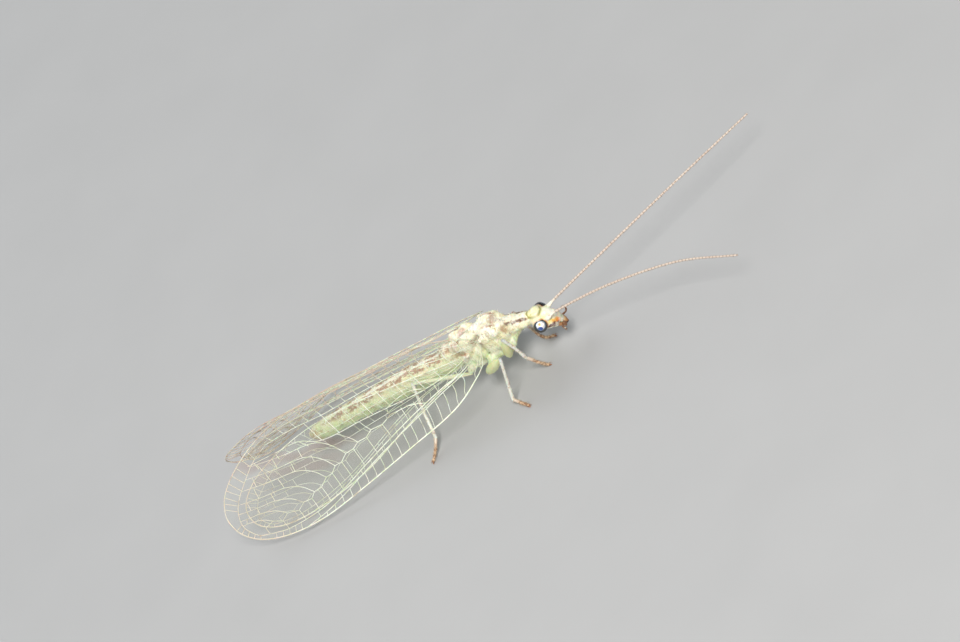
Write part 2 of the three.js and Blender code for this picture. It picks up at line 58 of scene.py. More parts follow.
PHOTO_WIDTH, PHOTO_HEIGHT = 960, 642
FOCAL_PIXELS = 5000
PIXELS_PER_MM = 26
SIGHTED = Vector((0, 0, 1.62))  # the point that the camera is aimed by, between the eyes
SIGHTED_PIXEL = (540.8, 317.6)
azimuth, elevation, roll = (math.radians(angle) for angle in (35.0, 36.8, 49.7))
ground_way = Vector((math.sin(azimuth), -math.cos(azimuth), 0))
backwards = ground_way * math.cos(elevation) + Vector((0, 0, math.sin(elevation)))
level = Vector((math.cos(azimuth), math.sin(azimuth), 0))
upright = backwards.cross(level)
rightwards = level * math.cos(roll) - upright * math.sin(roll)
upwards = level * math.sin(roll) + upright * math.cos(roll)
distance = FOCAL_PIXELS / PIXELS_PER_MM
camera_place = (
    SIGHTED
    + backwards * distance
    - rightwards * (SIGHTED_PIXEL[0] - PHOTO_WIDTH / 2) / PIXELS_PER_MM
    - upwards * (PHOTO_HEIGHT / 2 - SIGHTED_PIXEL[1]) / PIXELS_PER_MM
)
bpy.ops.object.select_all(action="DESELECT")
bpy.ops.object.camera_add()
camera = bpy.context.object
camera.data.lens = FOCAL_PIXELS / PHOTO_WIDTH * camera.data.sensor_width
camera.data.clip_start = 0.01
axes = Matrix((rightwards, upwards, backwards)).transposed().to_4x4()
camera.matrix_world = Matrix.Translation(placed(camera_place)) @ axes
bpy.context.scene.camera = camera


def add_light(name, place, size, energy, colour):
    bpy.ops.object.light_add(type="AREA", location=placed(place))
    light = bpy.context.object
    light.name = name
    light.data.shape = "DISK"
    light.data.size = size * MM
    light.data.energy = energy
    light.data.color = colour
    light.rotation_euler = (Vector((-4, 0, 1)) - Vector(place)).to_track_quat("-Z", "Y").to_euler()


add_light("key_light", (90, -120, 210), 110, 0.78, (1.0, 0.98, 0.95))
add_light("fill_light", (-150, 130, 160), 200, 0.28, (0.93, 0.97, 1.0))
add_light("low_light", (-60, -220, 60), 140, 0.13, (1.0, 1.0, 1.0))

world = bpy.context.scene.world or bpy.data.worlds.new("studio")
bpy.context.scene.world = world
world.use_nodes = True
world.node_tree.nodes["Background"].inputs["Color"].default_value = (0.92, 0.96, 1.0, 1)
world.node_tree.nodes["Background"].inputs["Strength"].default_value = 0.22
bpy.context.scene.view_settings.view_transform = "Standard"


# Nodes of a material are added by their kind, with each input a value or another node's output
def add_node(tree, kind, inputs=None, **settings):
    node = tree.nodes.new(kind)
    for name, value in settings.items():
        setattr(node, name, value)
    for name, value in (inputs or {}).items():
        if isinstance(value, bpy.types.NodeSocket):
            tree.links.new(value, node.inputs[name])
        else:
            node.inputs[name].default_value = value
    return node


def new_material(name, **values):
    material = bpy.data.materials.new(name)
    material.use_nodes = True
    shader = material.node_tree.nodes["Principled BSDF"]
    for socket, value in values.items():
        shader.inputs[socket.replace("_", " ").title().replace("Ior", "IOR")].default_value = value
    return material, material.node_tree, shader


floor_paint, tree, shader = new_material("floor_paint", roughness=0.6)
grain = add_node(tree, "ShaderNodeTexNoise", {"Scale": 900.0, "Detail": 3.0})
tone = add_node(tree, "ShaderNodeMapRange", {"Value": grain.outputs["Fac"], "To Min": 0.36, "To Max": 0.39})
tree.links.new(tone.outputs["Result"], shader.inputs["Base Color"])
bpy.ops.mesh.primitive_plane_add(size=4)
studio_floor = bpy.context.object
studio_floor.name = "studio_floor"
studio_floor.data.materials.append(floor_paint)

# Skin: one cuticle from the mouth to the tail, with the neck, three lengths of thorax, the six coxae
# and the abdomen. It is soft and waxy, swells into plates and knobs and is pinched between the rings.
skin_parts = []


def lobe(place, reach, pitch=0, yaw=0):
    bpy.ops.mesh.primitive_uv_sphere_add(
        segments=28, ring_count=18, location=place, rotation=(0, math.radians(pitch), math.radians(yaw))
    )
    part = bpy.context.object
    part.scale = reach
    bpy.ops.object.transform_apply(location=True, rotation=True, scale=True)
    skin_parts.append(part)


def lobes(place, reach, pitch=0, yaw=0):
    for side in (-1, 1):
        lobe((place[0], side * place[1], place[2]), reach, pitch, side * yaw)


# A shape under way: its corners, its faces, each corner's length along it and turn round it, and each
# face's finish
def new_shape():
    return {"corners": [], "faces": [], "marks": [], "finishes": []}


def add_tube(shape, points, radii, sides=10, outline=None, finish=0, rounded=True):
    points = [Vector(point) for point in points]
    radii = list(radii)
    if rounded:
        backwards = (points[0] - points[1]).normalized() * radii[0]
        onwards = (points[-1] - points[-2]).normalized() * radii[-1]
        before = [points[0] + backwards * 0.85, points[0] + backwards * 0.5]
        beyond = [points[-1] + onwards * 0.5, points[-1] + onwards * 0.85]
        radii = [radii[0] * 0.53, radii[0] * 0.87, *radii, radii[-1] * 0.87, radii[-1] * 0.53]
        points = before + points + beyond
    neighbours = [(points[max(i - 1, 0)], points[min(i + 1, len(points) - 1)]) for i in range(len(points))]
    ways = [(after - ahead).normalized() for ahead, after in neighbours]
    top = Vector((0, 0, 1)) if abs(ways[0].z) < 0.9 else Vector((1, 0, 0))
    first = len(shape["corners"])
    length = 0
    for i, (point, way, radius) in enumerate(zip(points, ways, radii)):
        if i > 0:
            length += (point - points[i - 1]).length
        top = (top - way * top.dot(way)).normalized()
        aside = way.cross(top)
        for n in range(sides):
            turn = 2 * math.pi * n / sides
            reach = radius * (outline(turn) if outline else 1)
            shape["corners"].append(point + (aside * math.cos(turn) + top * math.sin(turn)) * reach)
            shape["marks"].append((length, n / sides))
            if i > 0:
                a, b = first + i * sides + n, first + i * sides + (n + 1) % sides
                shape["faces"].append((a, a - sides, b - sides, b))
    last = len(shape["corners"]) - sides
    for start, point, way, radius, mark in (
        (first, points[0], -ways[0], radii[0], 0),
        (last, points[-1], ways[-1], radii[-1], length),
    ):
        pole = len(shape["corners"])
        shape["corners"].append(point + way * radius * 0.3)
        shape["marks"].append((mark, 0.5))
        for n in range(sides):
            corners = (pole, start + n, start + (n + 1) % sides)
            shape["faces"].append(corners if start == first else corners[::-1])
    shape["finishes"] += [finish] * (len(shape["faces"]) - len(shape["finishes"]))


def mesh_of(name, shape, place=placed, uv_name="Along"):
    mesh = bpy.data.meshes.new(name)
    mesh.from_pydata([place(corner) for corner in shape["corners"]], [], shape["faces"])
    mesh.polygons.foreach_set("material_index", shape["finishes"])
    lengths = mesh.uv_layers.new(name=uv_name)
    for loop in mesh.loops:
        lengths.data[loop.index].uv = shape["marks"][loop.vertex_index]
    mesh.shade_smooth()
    piece = bpy.data.objects.new(name, mesh)
    bpy.context.collection.objects.link(piece)
    return piece


def finish_piece(piece, materials, replaced=()):
    for material in materials:
        piece.data.materials.append(material)
    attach(piece, "root")
    if replaced:
        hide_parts(*replaced)
    return piece


# The head hangs from the neck, with its face pitched down
lobe((-0.04, 0, 1.82), (0.33, 0.42, 0.36), 20)
lobe((-0.2, 0, 1.84), (0.2, 0.34, 0.3))
lobe((0.02, 0, 2.0), (0.26, 0.3, 0.19), 12)
lobe((0.22, 0, 1.64), (0.33, 0.34, 0.36), 42)
lobe((0.42, 0, 1.45), (0.22, 0.3, 0.28), 48)
lobe((0.53, 0, 1.25), (0.16, 0.26, 0.2), 52)
lobe((0.6, 0, 1.12), (0.12, 0.2, 0.13), 52)
lobes((0.22, 0.27, 1.42), (0.28, 0.15, 0.26), 42)
lobes((0.4, 0.25, 1.24), (0.17, 0.12, 0.17), 42)
lobes((0.39, 0.27, 1.74), (0.12, 0.11, 0.09), 20)
lobes((-0.02, 0.4, 1.64), (0.3, 0.12, 0.31))

# The neck and the pronotum, a saddle with two swellings and a raised edge over its bulging sides
lobe((-0.36, 0, 1.86), (0.3, 0.26, 0.26))
lobe((-0.74, 0, 1.96), (0.56, 0.3, 0.32), 10)
lobe((-0.52, 0, 2.08), (0.24, 0.28, 0.16), 8)
lobe((-0.98, 0, 2.24), (0.34, 0.31, 0.18), 14)
lobes((-0.75, 0.25, 2.1), (0.46, 0.09, 0.1), 14)
lobes((-0.64, 0.24, 1.92), (0.24, 0.15, 0.19))
lobes((-1.04, 0.26, 1.98), (0.28, 0.17, 0.22), 10)
lobe((-0.8, 0, 1.74), (0.42, 0.22, 0.18), 6)
lobes((-1.2, 0.2, 1.72), (0.3, 0.16, 0.24))

# The mesothorax: two shoulder domes, two larger domes and a shield on top, plates down the sides
lobe((-1.92, 0, 1.98), (0.78, 0.56, 0.76))
lobe((-1.8, 0, 2.34), (0.62, 0.44, 0.46), 8)
lobe((-1.38, 0, 2.16), (0.36, 0.36, 0.4), 20)
lobes((-1.44, 0.19, 2.46), (0.3, 0.24, 0.24), 22)
lobes((-1.95, 0.26, 2.58), (0.42, 0.3, 0.3), 0, 10)
lobe((-2.38, 0, 2.64), (0.34, 0.27, 0.2), -8)
lobes((-1.66, 0.48, 2.46), (0.26, 0.18, 0.23), 8)
lobes((-1.5, 0.38, 2.0), (0.22, 0.17, 0.34), 14)
lobes((-1.82, 0.45, 1.88), (0.22, 0.17, 0.5), 10)
lobes((-2.22, 0.45, 1.92), (0.27, 0.18, 0.5), 8)
lobes((-2.16, 0.52, 2.38), (0.34, 0.17, 0.16), -6)
lobes((-2.27, 0.64, 2.56), (0.2, 0.13, 0.1), -8)
lobes((-1.66, 0.3, 1.5), (0.34, 0.22, 0.28))
lobes((-2.2, 0.32, 1.36), (0.36, 0.24, 0.32))

# The metathorax, plainer and as high, with the hump of the abdomen's first ring behind it
lobe((-3.05, 0, 1.84), (0.74, 0.52, 0.62))
lobe((-3.1, 0, 2.34), (0.66, 0.42, 0.42), -4)
lobes((-2.86, 0.27, 2.6), (0.4, 0.27, 0.3), -4)
lobes((-3.44, 0.24, 2.54), (0.36, 0.24, 0.3), -14)
lobe((-3.3, 0, 2.62), (0.3, 0.24, 0.18), -10)
lobes((-3.02, 0.42, 2.36), (0.3, 0.18, 0.23), -4)
lobe((-4.0, 0, 2.16), (0.46, 0.42, 0.44), -14)
lobes((-2.75, 0.44, 1.8), (0.2, 0.18, 0.42), -10)
lobes((-3.1, 0.43, 1.76), (0.2, 0.17, 0.42), -8)
lobes((-3.46, 0.36, 1.72), (0.22, 0.18, 0.36), -6)
lobes((-3.22, 0.62, 2.14), (0.22, 0.15, 0.1), 8)
lobes((-3.15, 0.28, 1.26), (0.4, 0.22, 0.24))
lobe((-3.75, 0, 1.84), (0.34, 0.4, 0.44))

# Each leg's hip, the end of its coxa, its knee, its ankle and its toe
LEGS = {
    "fore_right": {
        "hip": (-1.36, -0.34, 1.56),
        "coxa_end": (-1.72, -0.78, 1.36),
        "knee": (-1.18, -1.14, 2.5),
        "ankle": (-1.2, -0.97, 1.02),
        "toe": (-0.79, -0.92, 0.07),
    },
    "fore_left": {
        "hip": (-0.98, 0.3, 1.5),
        "coxa_end": (-1.4, 0.66, 1.1),
        "knee": (-2.4, 1.24, 1.64),
        "ankle": (-1.35, 0.98, 0.6),
        "toe": (-0.5, 0.44, 0.07),
    },
    "mid_right": {
        "hip": (-2.35, -0.48, 1.42),
        "coxa_end": (-2.94, -0.78, 1.06),
        "knee": (-1.5, -1.75, 2.25),
        "ankle": (-2.37, -2.0, 0.3),
        "toe": (-1.8, -2.45, 0.07),
    },
    "mid_left": {
        "hip": (-2.35, 0.48, 1.42),
        "coxa_end": (-2.8, 0.78, 0.97),
        "knee": (-3.3, 1.6, 1.1),
        "ankle": (-2.95, 2.1, 0.4),
        "toe": (-2.5, 2.6, 0.07),
    },
    "hind_right": {
        "hip": (-3.4, -0.42, 1.45),
        "coxa_end": (-3.76, -0.6, 1.22),
        "knee": (-5.86, -0.64, 2.14),
        "ankle": (-6.0, -2.18, 0.5),
        "toe": (-6.44, -2.89, 0.07),
    },
    "hind_left": {
        "hip": (-3.4, 0.43, 1.3),
        "coxa_end": (-3.75, 0.72, 0.95),
        "knee": (-5.2, 1.5, 1.15),
        "ankle": (-5.35, 2.0, 0.5),
        "toe": (-5.75, 2.35, 0.07),
    },
}
shape = new_shape()
for joints in LEGS.values():
    hip, coxa_end = Vector(joints["hip"]), Vector(joints["coxa_end"])
    path = [hip.lerp(coxa_end, t) for t in (-0.15, 0.2, 0.54, 0.83, 1)]
    add_tube(shape, path, [0.17, 0.2, 0.19, 0.15, 0.1], 16)

# The abdomen: eight rings, each a little proud of the one behind it, flat along a fold on each side
ABDOMEN_FRONT = -3.85
ABDOMEN_BACK = -10.75
ABDOMEN_RINGS = 8
FOLD_TURN = math.radians(-12)


def abdomen_outline(turn):
    fold = min(abs(turn - end) for end in (math.pi - FOLD_TURN, 2 * math.pi + FOLD_TURN))
    return 1 - 0.09 * math.exp(-((fold / 0.2) ** 2))


def abdomen_middle(along):
    return Vector((ABDOMEN_FRONT + (ABDOMEN_BACK - ABDOMEN_FRONT) * along, 0, 1.79 - 0.26 * along**3))


def abdomen_radius(along):
    return 0.49 + 0.075 * math.sin(math.pi * min(1, along * 1.6)) - 0.09 * along**2


stations = []
for ring in range(ABDOMEN_RINGS):
    for part, grow in ((0.02, 0.9), (0.1, 0.96), (0.22, 1), (0.5, 1.02), (0.8, 1.015), (0.93, 0.99)):
        along = (ring + part) / ABDOMEN_RINGS
        stations.append((abdomen_middle(along), abdomen_radius(along) * grow))
stations += [
    (Vector((-10.8, 0, 1.53)), 0.34),
    (Vector((-11.0, 0, 1.53)), 0.37),
    (Vector((-11.2, 0, 1.54)), 0.33),
    (Vector((-11.34, 0, 1.55)), 0.2),
]
add_tube(shape, [middle for middle, _ in stations], [radius for _, radius in stations], 48, abdomen_outline)
skin_parts.append(mesh_of("trunk", shape, place=Vector))

bpy.ops.object.select_all(action="DESELECT")
for part in skin_parts:
    part.select_set(True)
bpy.context.view_layer.objects.active = skin_parts[0]
bpy.ops.object.join()
skin = bpy.context.object
skin.name = "skin"
VOXEL = 0.032
for kind, settings in (
    ("REMESH", {"mode": "VOXEL", "voxel_size": VOXEL, "use_smooth_shade": True}),
    ("SMOOTH", {"factor": 0.5, "iterations": 14}),
):
    modifier = skin.modifiers.new(kind.lower(), kind)
    for name, value in settings.items():
        setattr(modifier, name, value)
    bpy.ops.object.modifier_apply(modifier=modifier.name)

# Fine folds run round the soft parts, and "hollow" keeps how deep in a groove each point lies
corners = np.empty(len(skin.data.vertices) * 3)
skin.data.vertices.foreach_get("co", corners)
corners = corners.reshape(-1, 3)
outward = np.empty(corners.size)
skin.data.vertices.foreach_get("normal", outward)
outward = outward.reshape(-1, 3)
edges = np.empty(len(skin.data.edges) * 2, dtype=np.int32)
skin.data.edges.foreach_get("vertices", edges)
edges = edges.reshape(-1, 2)
neighbours = np.bincount(edges.ravel(), minlength=len(corners))[:, None]


def eased(places, turns):
    for _ in range(turns):
        total = np.zeros_like(places)
        np.add.at(total, edges[:, 0], places[edges[:, 1]])
        np.add.at(total, edges[:, 1], places[edges[:, 0]])
        places = places * 0.4 + total / neighbours * 0.6
    return places


PLATE_SOFTNESS = 0.55
FACE_FOLD_DEPTH = 0.006
BODY_FOLD_DEPTH = 0.03
behind_head = np.clip((-0.25 - corners[:, 0]) / 0.4, 0, 1)[:, None]
level_skin = eased(corners, 60)
corners = corners + (level_skin - corners) * PLATE_SOFTNESS * behind_head
folds = []
for x, y, z in corners:
    crease = 1 - abs(noise.noise(Vector((x * 4.0, abs(y) * 2.0, z * 2.0)))) * 2
    wrinkle = 1 - abs(noise.noise(Vector((x * 8.5 + 7, abs(y) * 5, z * 5)))) * 2
    folds.append(0.55 * crease**3 + 0.3 * wrinkle**3 + 0.3 * noise.noise(Vector((x * 20, y * 20, z * 20))))
fold_depth = FACE_FOLD_DEPTH + (BODY_FOLD_DEPTH - FACE_FOLD_DEPTH) * behind_head
corners = corners - outward * (np.array(folds)[:, None] * fold_depth)
level_skin = eased(corners, 25)
hollow = skin.data.attributes.new("hollow", "FLOAT", "POINT")
depth = ((level_skin - corners) * outward).sum(axis=1)
hollow.data.foreach_set("value", depth / VOXEL)
skin.data.vertices.foreach_set("co", corners.ravel())
skin.data.transform(Matrix.Translation(UNDER_EYES) @ Matrix.Scale(MM, 4))


# Masks and colours for its markings, all set out in the insect's own millimetres
def calculate(tree, operation, *values):
    node = add_node(tree, "ShaderNodeMath", operation=operation)
    for socket, value in zip(node.inputs, values):
        if isinstance(value, bpy.types.NodeSocket):
            tree.links.new(value, socket)
        else:
            socket.default_value = value
    return node.outputs[0]


def fade(tree, value, none, full):
    inputs = {"Value": value, "From Min": none, "From Max": full}
    return add_node(tree, "ShaderNodeMapRange", inputs, interpolation_type="SMOOTHSTEP").outputs["Result"]


def noise_of(tree, vector, scale, detail=2.0, roughness=0.5):
    inputs = {"Vector": vector, "Scale": scale, "Detail": detail, "Roughness": roughness}
    return add_node(tree, "ShaderNodeTexNoise", inputs).outputs["Fac"]


def painted(tree, under, over, mask):
    mix = tree.nodes.new("ShaderNodeMix")
    mix.data_type = "RGBA"
    for socket, value in ((mix.inputs[0], mask), (mix.inputs[6], under), (mix.inputs[7], over)):
        if isinstance(value, bpy.types.NodeSocket):
            tree.links.new(value, socket)
        else:
            socket.default_value = value if isinstance(value, float) else (*value, 1)
    return mix.outputs[2]


def millimetres(tree):
    coordinates = add_node(tree, "ShaderNodeTexCoord")
    inputs = {"Vector": coordinates.outputs["Object"], "Location": -UNDER_EYES / MM, "Scale": (1 / MM,) * 3}
    return add_node(tree, "ShaderNodeMapping", inputs).outputs["Vector"]


def split(tree, vector):
    return add_node(tree, "ShaderNodeSeparateXYZ", {"Vector": vector}).outputs


def both_sides(tree, place):
    x, y, z = split(tree, place)
    inputs = {"X": x, "Y": calculate(tree, "ABSOLUTE", y), "Z": z}
    return add_node(tree, "ShaderNodeCombineXYZ", inputs).outputs["Vector"]


def swing(tree, fraction, reach):
    return calculate(tree, "MULTIPLY", calculate(tree, "SUBTRACT", fraction, 0.5), reach)


def spot(tree, place, middle, reach, softness=0.3):
    offset = add_node(tree, "ShaderNodeVectorMath", {0: place, 1: middle}, operation="SUBTRACT")
    inputs = {0: offset.outputs[0], 1: tuple(1 / r for r in reach)}
    scaled = add_node(tree, "ShaderNodeVectorMath", inputs, operation="MULTIPLY")
    far = add_node(tree, "ShaderNodeVectorMath", {0: scaled.outputs[0]}, operation="LENGTH")
    return fade(tree, far.outputs["Value"], 1 + softness, 1 - softness)


def all_of(tree, *masks):
    product = masks[0]
    for mask in masks[1:]:
        product = calculate(tree, "MULTIPLY", product, mask)
    return product


def add_bump(tree, shader, height, depth):
    bump = add_node(tree, "ShaderNodeBump", {"Height": height, "Strength": 0.6, "Distance": depth * MM})
    tree.links.new(bump.outputs["Normal"], shader.inputs["Normal"])


CREAM = (0.8, 0.76, 0.52)
LEAF_GREEN = (0.58, 0.7, 0.36)
WHITE = (0.8, 0.8, 0.66)
RED_BROWN = (0.24, 0.09, 0.04)
PINK_BROWN = (0.5, 0.3, 0.2)
ORANGE = (0.68, 0.2, 0.03)

markings = bpy.data.node_groups.new("markings", "ShaderNodeTree")
markings.interface.new_socket("Color", in_out="OUTPUT", socket_type="NodeSocketColor")
tree = markings
place = millimetres(tree)
mirrored = both_sides(tree, place)
x, aside, z = split(tree, mirrored)
cloudy = noise_of(tree, place, 2.4, 3.0)
grainy = noise_of(tree, place, 14.0, 3.0, 0.6)
mottled = noise_of(tree, mirrored, 5.5, 4.0, 0.65)
wandering = calculate(tree, "ADD", aside, swing(tree, mottled, 0.25))

on_abdomen = fade(tree, x, -3.4, -4.0)
lowered = calculate(tree, "MULTIPLY", on_abdomen, -0.3)
raised = calculate(tree, "MULTIPLY", fade(tree, x, -0.4, 0.0), 0.8)
shifted = calculate(tree, "ADD", lowered, raised)
greenness = calculate(tree, "ADD", calculate(tree, "ADD", z, cloudy), shifted)
colour = painted(tree, LEAF_GREEN, CREAM, fade(tree, greenness, 1.75, 2.7))
bloom = all_of(tree, fade(tree, x, -4.2, -3.2), fade(tree, cloudy, 0.42, 0.62), 0.75)
colour = painted(tree, colour, WHITE, bloom)
blushes = all_of(tree, fade(tree, mottled, 0.54, 0.68), fade(tree, z, 1.9, 2.25), fade(tree, x, -0.3, -0.9))
colour = painted(tree, colour, PINK_BROWN, all_of(tree, blushes, 0.28))
pale_middle = all_of(tree, fade(tree, wandering, 0.13, 0.05), fade(tree, z, 1.9, 2.2), 0.8)
colour = painted(tree, colour, WHITE, pale_middle)

# Reddish brown blotches in two rows along the abdomen, a fainter row low on its sides
ring_length = (ABDOMEN_FRONT - ABDOMEN_BACK) / ABDOMEN_RINGS
behind = calculate(tree, "DIVIDE", calculate(tree, "SUBTRACT", ABDOMEN_FRONT, x), ring_length)
within_ring = calculate(tree, "FRACT", behind)
ring_edge = calculate(tree, "ABSOLUTE", calculate(tree, "SUBTRACT", within_ring, 0.5))
beside_middle = all_of(tree, fade(tree, wandering, 0.04, 0.1), fade(tree, wandering, 0.36, 0.26))
rows = all_of(tree, beside_middle, fade(tree, z, 1.85, 1.98))
long_way = add_node(tree, "ShaderNodeVectorMath", {0: mirrored, 1: (0.62, 1.5, 1.5)}, operation="MULTIPLY")
dashes = noise_of(tree, long_way.outputs[0], 5.5, 4.0, 0.65)
gathered = calculate(tree, "ADD", dashes, calculate(tree, "MULTIPLY", ring_edge, 0.22))
patchy = fade(tree, gathered, 0.46, 0.58)
colour = painted(tree, colour, (0.31, 0.14, 0.08), all_of(tree, rows, patchy, on_abdomen, 0.85))
low_row = all_of(tree, fade(tree, z, 1.92, 1.8), fade(tree, z, 1.5, 1.62), fade(tree, dashes, 0.52, 0.62))
colour = painted(tree, colour, (0.4, 0.2, 0.12), all_of(tree, low_row, on_abdomen, 0.6))
tail_end = spot(tree, mirrored, (-11.2, 0.1, 1.6), (0.34, 0.36, 0.32))
tail_brown = all_of(tree, tail_end, fade(tree, mottled, 0.38, 0.52), 0.85)
colour = painted(tree, colour, (0.4, 0.22, 0.09), tail_brown)

# A dark wavy streak along each side of the pronotum, brown arcs round the domes of the thorax, and a painted
# highlight on each side of the mesothorax
ragged = fade(tree, mottled, 0.34, 0.48)
for middle, reach, tint, strength in (
    ((-0.55, 0.2, 2.15), (0.3, 0.065, 0.2), (0.13, 0.05, 0.02), 1.0),
    ((-0.98, 0.23, 2.3), (0.28, 0.06, 0.2), (0.13, 0.05, 0.02), 0.95),
    ((-1.28, 0.36, 2.3), (0.12, 0.2, 0.2), (0.4, 0.2, 0.1), 0.7),
    ((-1.78, 0.32, 2.72), (0.36, 0.06, 0.2), (0.36, 0.18, 0.1), 0.85),
    ((-2.35, 0.0, 2.85), (0.26, 0.2, 0.15), (0.84, 0.83, 0.75), 1.0),
    ((-2.98, 0.1, 2.8), (0.2, 0.12, 0.12), (0.6, 0.38, 0.3), 0.8),
    ((-3.08, 0.33, 2.6), (0.38, 0.06, 0.25), RED_BROWN, 0.85),
    ((-1.55, 0.1, 2.7), (0.2, 0.14, 0.1), (0.36, 0.18, 0.1), 0.6),
    ((-2.36, 0.5, 2.45), (0.14, 0.25, 0.2), (0.36, 0.18, 0.1), 0.85),
    ((-2.62, 0.42, 2.5), (0.12, 0.2, 0.14), RED_BROWN, 0.75),
    ((-3.2, 0.45, 2.2), (0.16, 0.25, 0.16), (0.36, 0.18, 0.1), 0.8),
    ((-3.55, 0.35, 2.15), (0.2, 0.25, 0.12), RED_BROWN, 0.7),
    ((-1.64, 0.62, 2.44), (0.16, 0.14, 0.14), (0.74, 0.8, 0.62), 0.9),
    # A painted highlight: a small white spot in the middle of the dome on each side of the mesothorax, near
    # its front
    ((-1.62, 0.66, 2.5), (0.07, 0.1, 0.07), (0.86, 0.85, 0.8), 1.0),
    ((-3.02, 0.58, 2.4), (0.2, 0.14, 0.14), (0.72, 0.78, 0.6), 0.8),
    ((-3.4, 0.36, 2.6), (0.22, 0.08, 0.2), (0.34, 0.16, 0.1), 0.8),
):
    mask = all_of(tree, spot(tree, mirrored, middle, reach, 0.4), ragged, strength)
    colour = painted(tree, colour, tint, mask)

# The head: a yellow crown with an olive line round it, a white face, orange cheeks, and a dark streak
# from each eye to the mouth
inputs = {"X": swing(tree, mottled, 0.16), "Z": swing(tree, grainy, 0.12)}
wavering = add_node(tree, "ShaderNodeCombineXYZ", inputs).outputs["Vector"]
face = add_node(tree, "ShaderNodeVectorMath", {0: mirrored, 1: wavering}, operation="ADD").outputs["Vector"]
for middle, reach, tint, strength in (
    ((0.0, 0.0, 2.1), (0.32, 0.42, 0.26), (0.74, 0.7, 0.24), 0.7),
    ((-0.02, 0.16, 2.2), (0.16, 0.03, 0.2), (0.45, 0.36, 0.1), 0.7),
    ((0.38, 0.0, 1.6), (0.3, 0.22, 0.34), (0.92, 0.9, 0.78), 0.95),
    ((0.3, 0.24, 1.84), (0.14, 0.1, 0.1), (0.85, 0.8, 0.4), 0.8),
    ((0.46, 0.1, 1.66), (0.1, 0.1, 0.05), PINK_BROWN, 0.6),
    ((0.56, 0.0, 1.36), (0.08, 0.2, 0.025), (0.5, 0.25, 0.1), 0.7),
    ((0.38, 0.28, 1.52), (0.16, 0.14, 0.09), (0.8, 0.6, 0.14), 0.85),
    ((0.48, 0.24, 1.43), (0.19, 0.14, 0.1), (0.8, 0.4, 0.06), 0.95),
    ((0.6, 0.2, 1.3), (0.12, 0.13, 0.09), ORANGE, 0.95),
    ((0.32, 0.38, 1.37), (0.24, 0.18, 0.075), (0.08, 0.01, 0.008), 1.0),
    ((0.48, 0.32, 1.25), (0.16, 0.15, 0.065), (0.08, 0.012, 0.008), 1.0),
    ((0.62, 0.27, 1.14), (0.13, 0.12, 0.05), (0.07, 0.03, 0.015), 0.95),
    ((0.62, 0.0, 1.08), (0.1, 0.16, 0.06), (0.35, 0.14, 0.05), 0.8),
):
    colour = painted(tree, colour, tint, all_of(tree, spot(tree, face, middle, reach, 0.35), strength))
rim, inside_rim = (spot(tree, face, (0.0, 0.0, 2.12), (reach, reach, 0.4), 0.08) for reach in (0.33, 0.25))
outside = calculate(tree, "SUBTRACT", 1.0, inside_rim)
crown_line = all_of(tree, rim, outside, fade(tree, z, 1.94, 2.02), 0.85)
colour = painted(tree, colour, (0.3, 0.27, 0.05), crown_line)
eye_place = (0, EYE_MIDDLES[1].y / MM - UNDER_EYES.y / MM, EYE_MIDDLES[1].z / MM)
eye_rim = all_of(tree, spot(tree, mirrored, eye_place, (0.31,) * 3, 0.06), 0.85)
colour = painted(tree, colour, (0.6, 0.22, 0.04), eye_rim)

# Brown in the seams of the thorax, painted shade in the grooves behind the head, and a painted highlight on
# what stands proud
hollows = add_node(tree, "ShaderNodeAttribute", attribute_name="hollow").outputs["Fac"]
high_up = calculate(tree, "ADD", 0.3, calculate(tree, "MULTIPLY", fade(tree, z, 1.7, 2.1), 0.7))
stretched = add_node(tree, "ShaderNodeVectorMath", {0: mirrored, 1: (2.2, 1.0, 1.0)}, operation="MULTIPLY")
seam_noise = noise_of(tree, stretched.outputs[0], 1.7, 3.0, 0.6)
seams = fade(tree, calculate(tree, "ABSOLUTE", calculate(tree, "SUBTRACT", seam_noise, 0.5)), 0.02, 0.006)
on_thorax = all_of(tree, fade(tree, x, -0.3, -0.6), fade(tree, x, -4.2, -3.8))
brown_seams = all_of(tree, seams, on_thorax, fade(tree, cloudy, 0.35, 0.5), high_up, 0.6)
colour = painted(tree, colour, (0.34, 0.19, 0.08), brown_seams)
# Painted shade: brown darkening in the grooves, stronger where a point lies deeper in its groove
grooves = all_of(tree, fade(tree, hollows, 0.12, 0.7), fade(tree, x, 0.1, -0.3))
groove_shade = all_of(tree, grooves, fade(tree, mottled, 0.3, 0.5), high_up, 0.7)
colour = painted(tree, colour, (0.4, 0.3, 0.15), groove_shade)
# Painted highlight: paler on what stands proud of the skin around it
colour = painted(tree, colour, (0.84, 0.83, 0.7), all_of(tree, fade(tree, hollows, -0.1, -0.6), 0.5))

# The lobes of the coxae are clear leaf green
low = all_of(tree, fade(tree, z, 1.35, 1.1), fade(tree, aside, 0.45, 0.6), 0.7)
colour = painted(tree, colour, (0.62, 0.74, 0.36), low)
colour = painted(tree, colour, WHITE, all_of(tree, fade(tree, grainy, 0.6, 0.72), 0.35))
add_node(tree, "NodeGroupOutput", {"Color": colour})


def marked(tree):
    group = tree.nodes.new("ShaderNodeGroup")
    group.node_tree = markings
    return group.outputs["Color"]


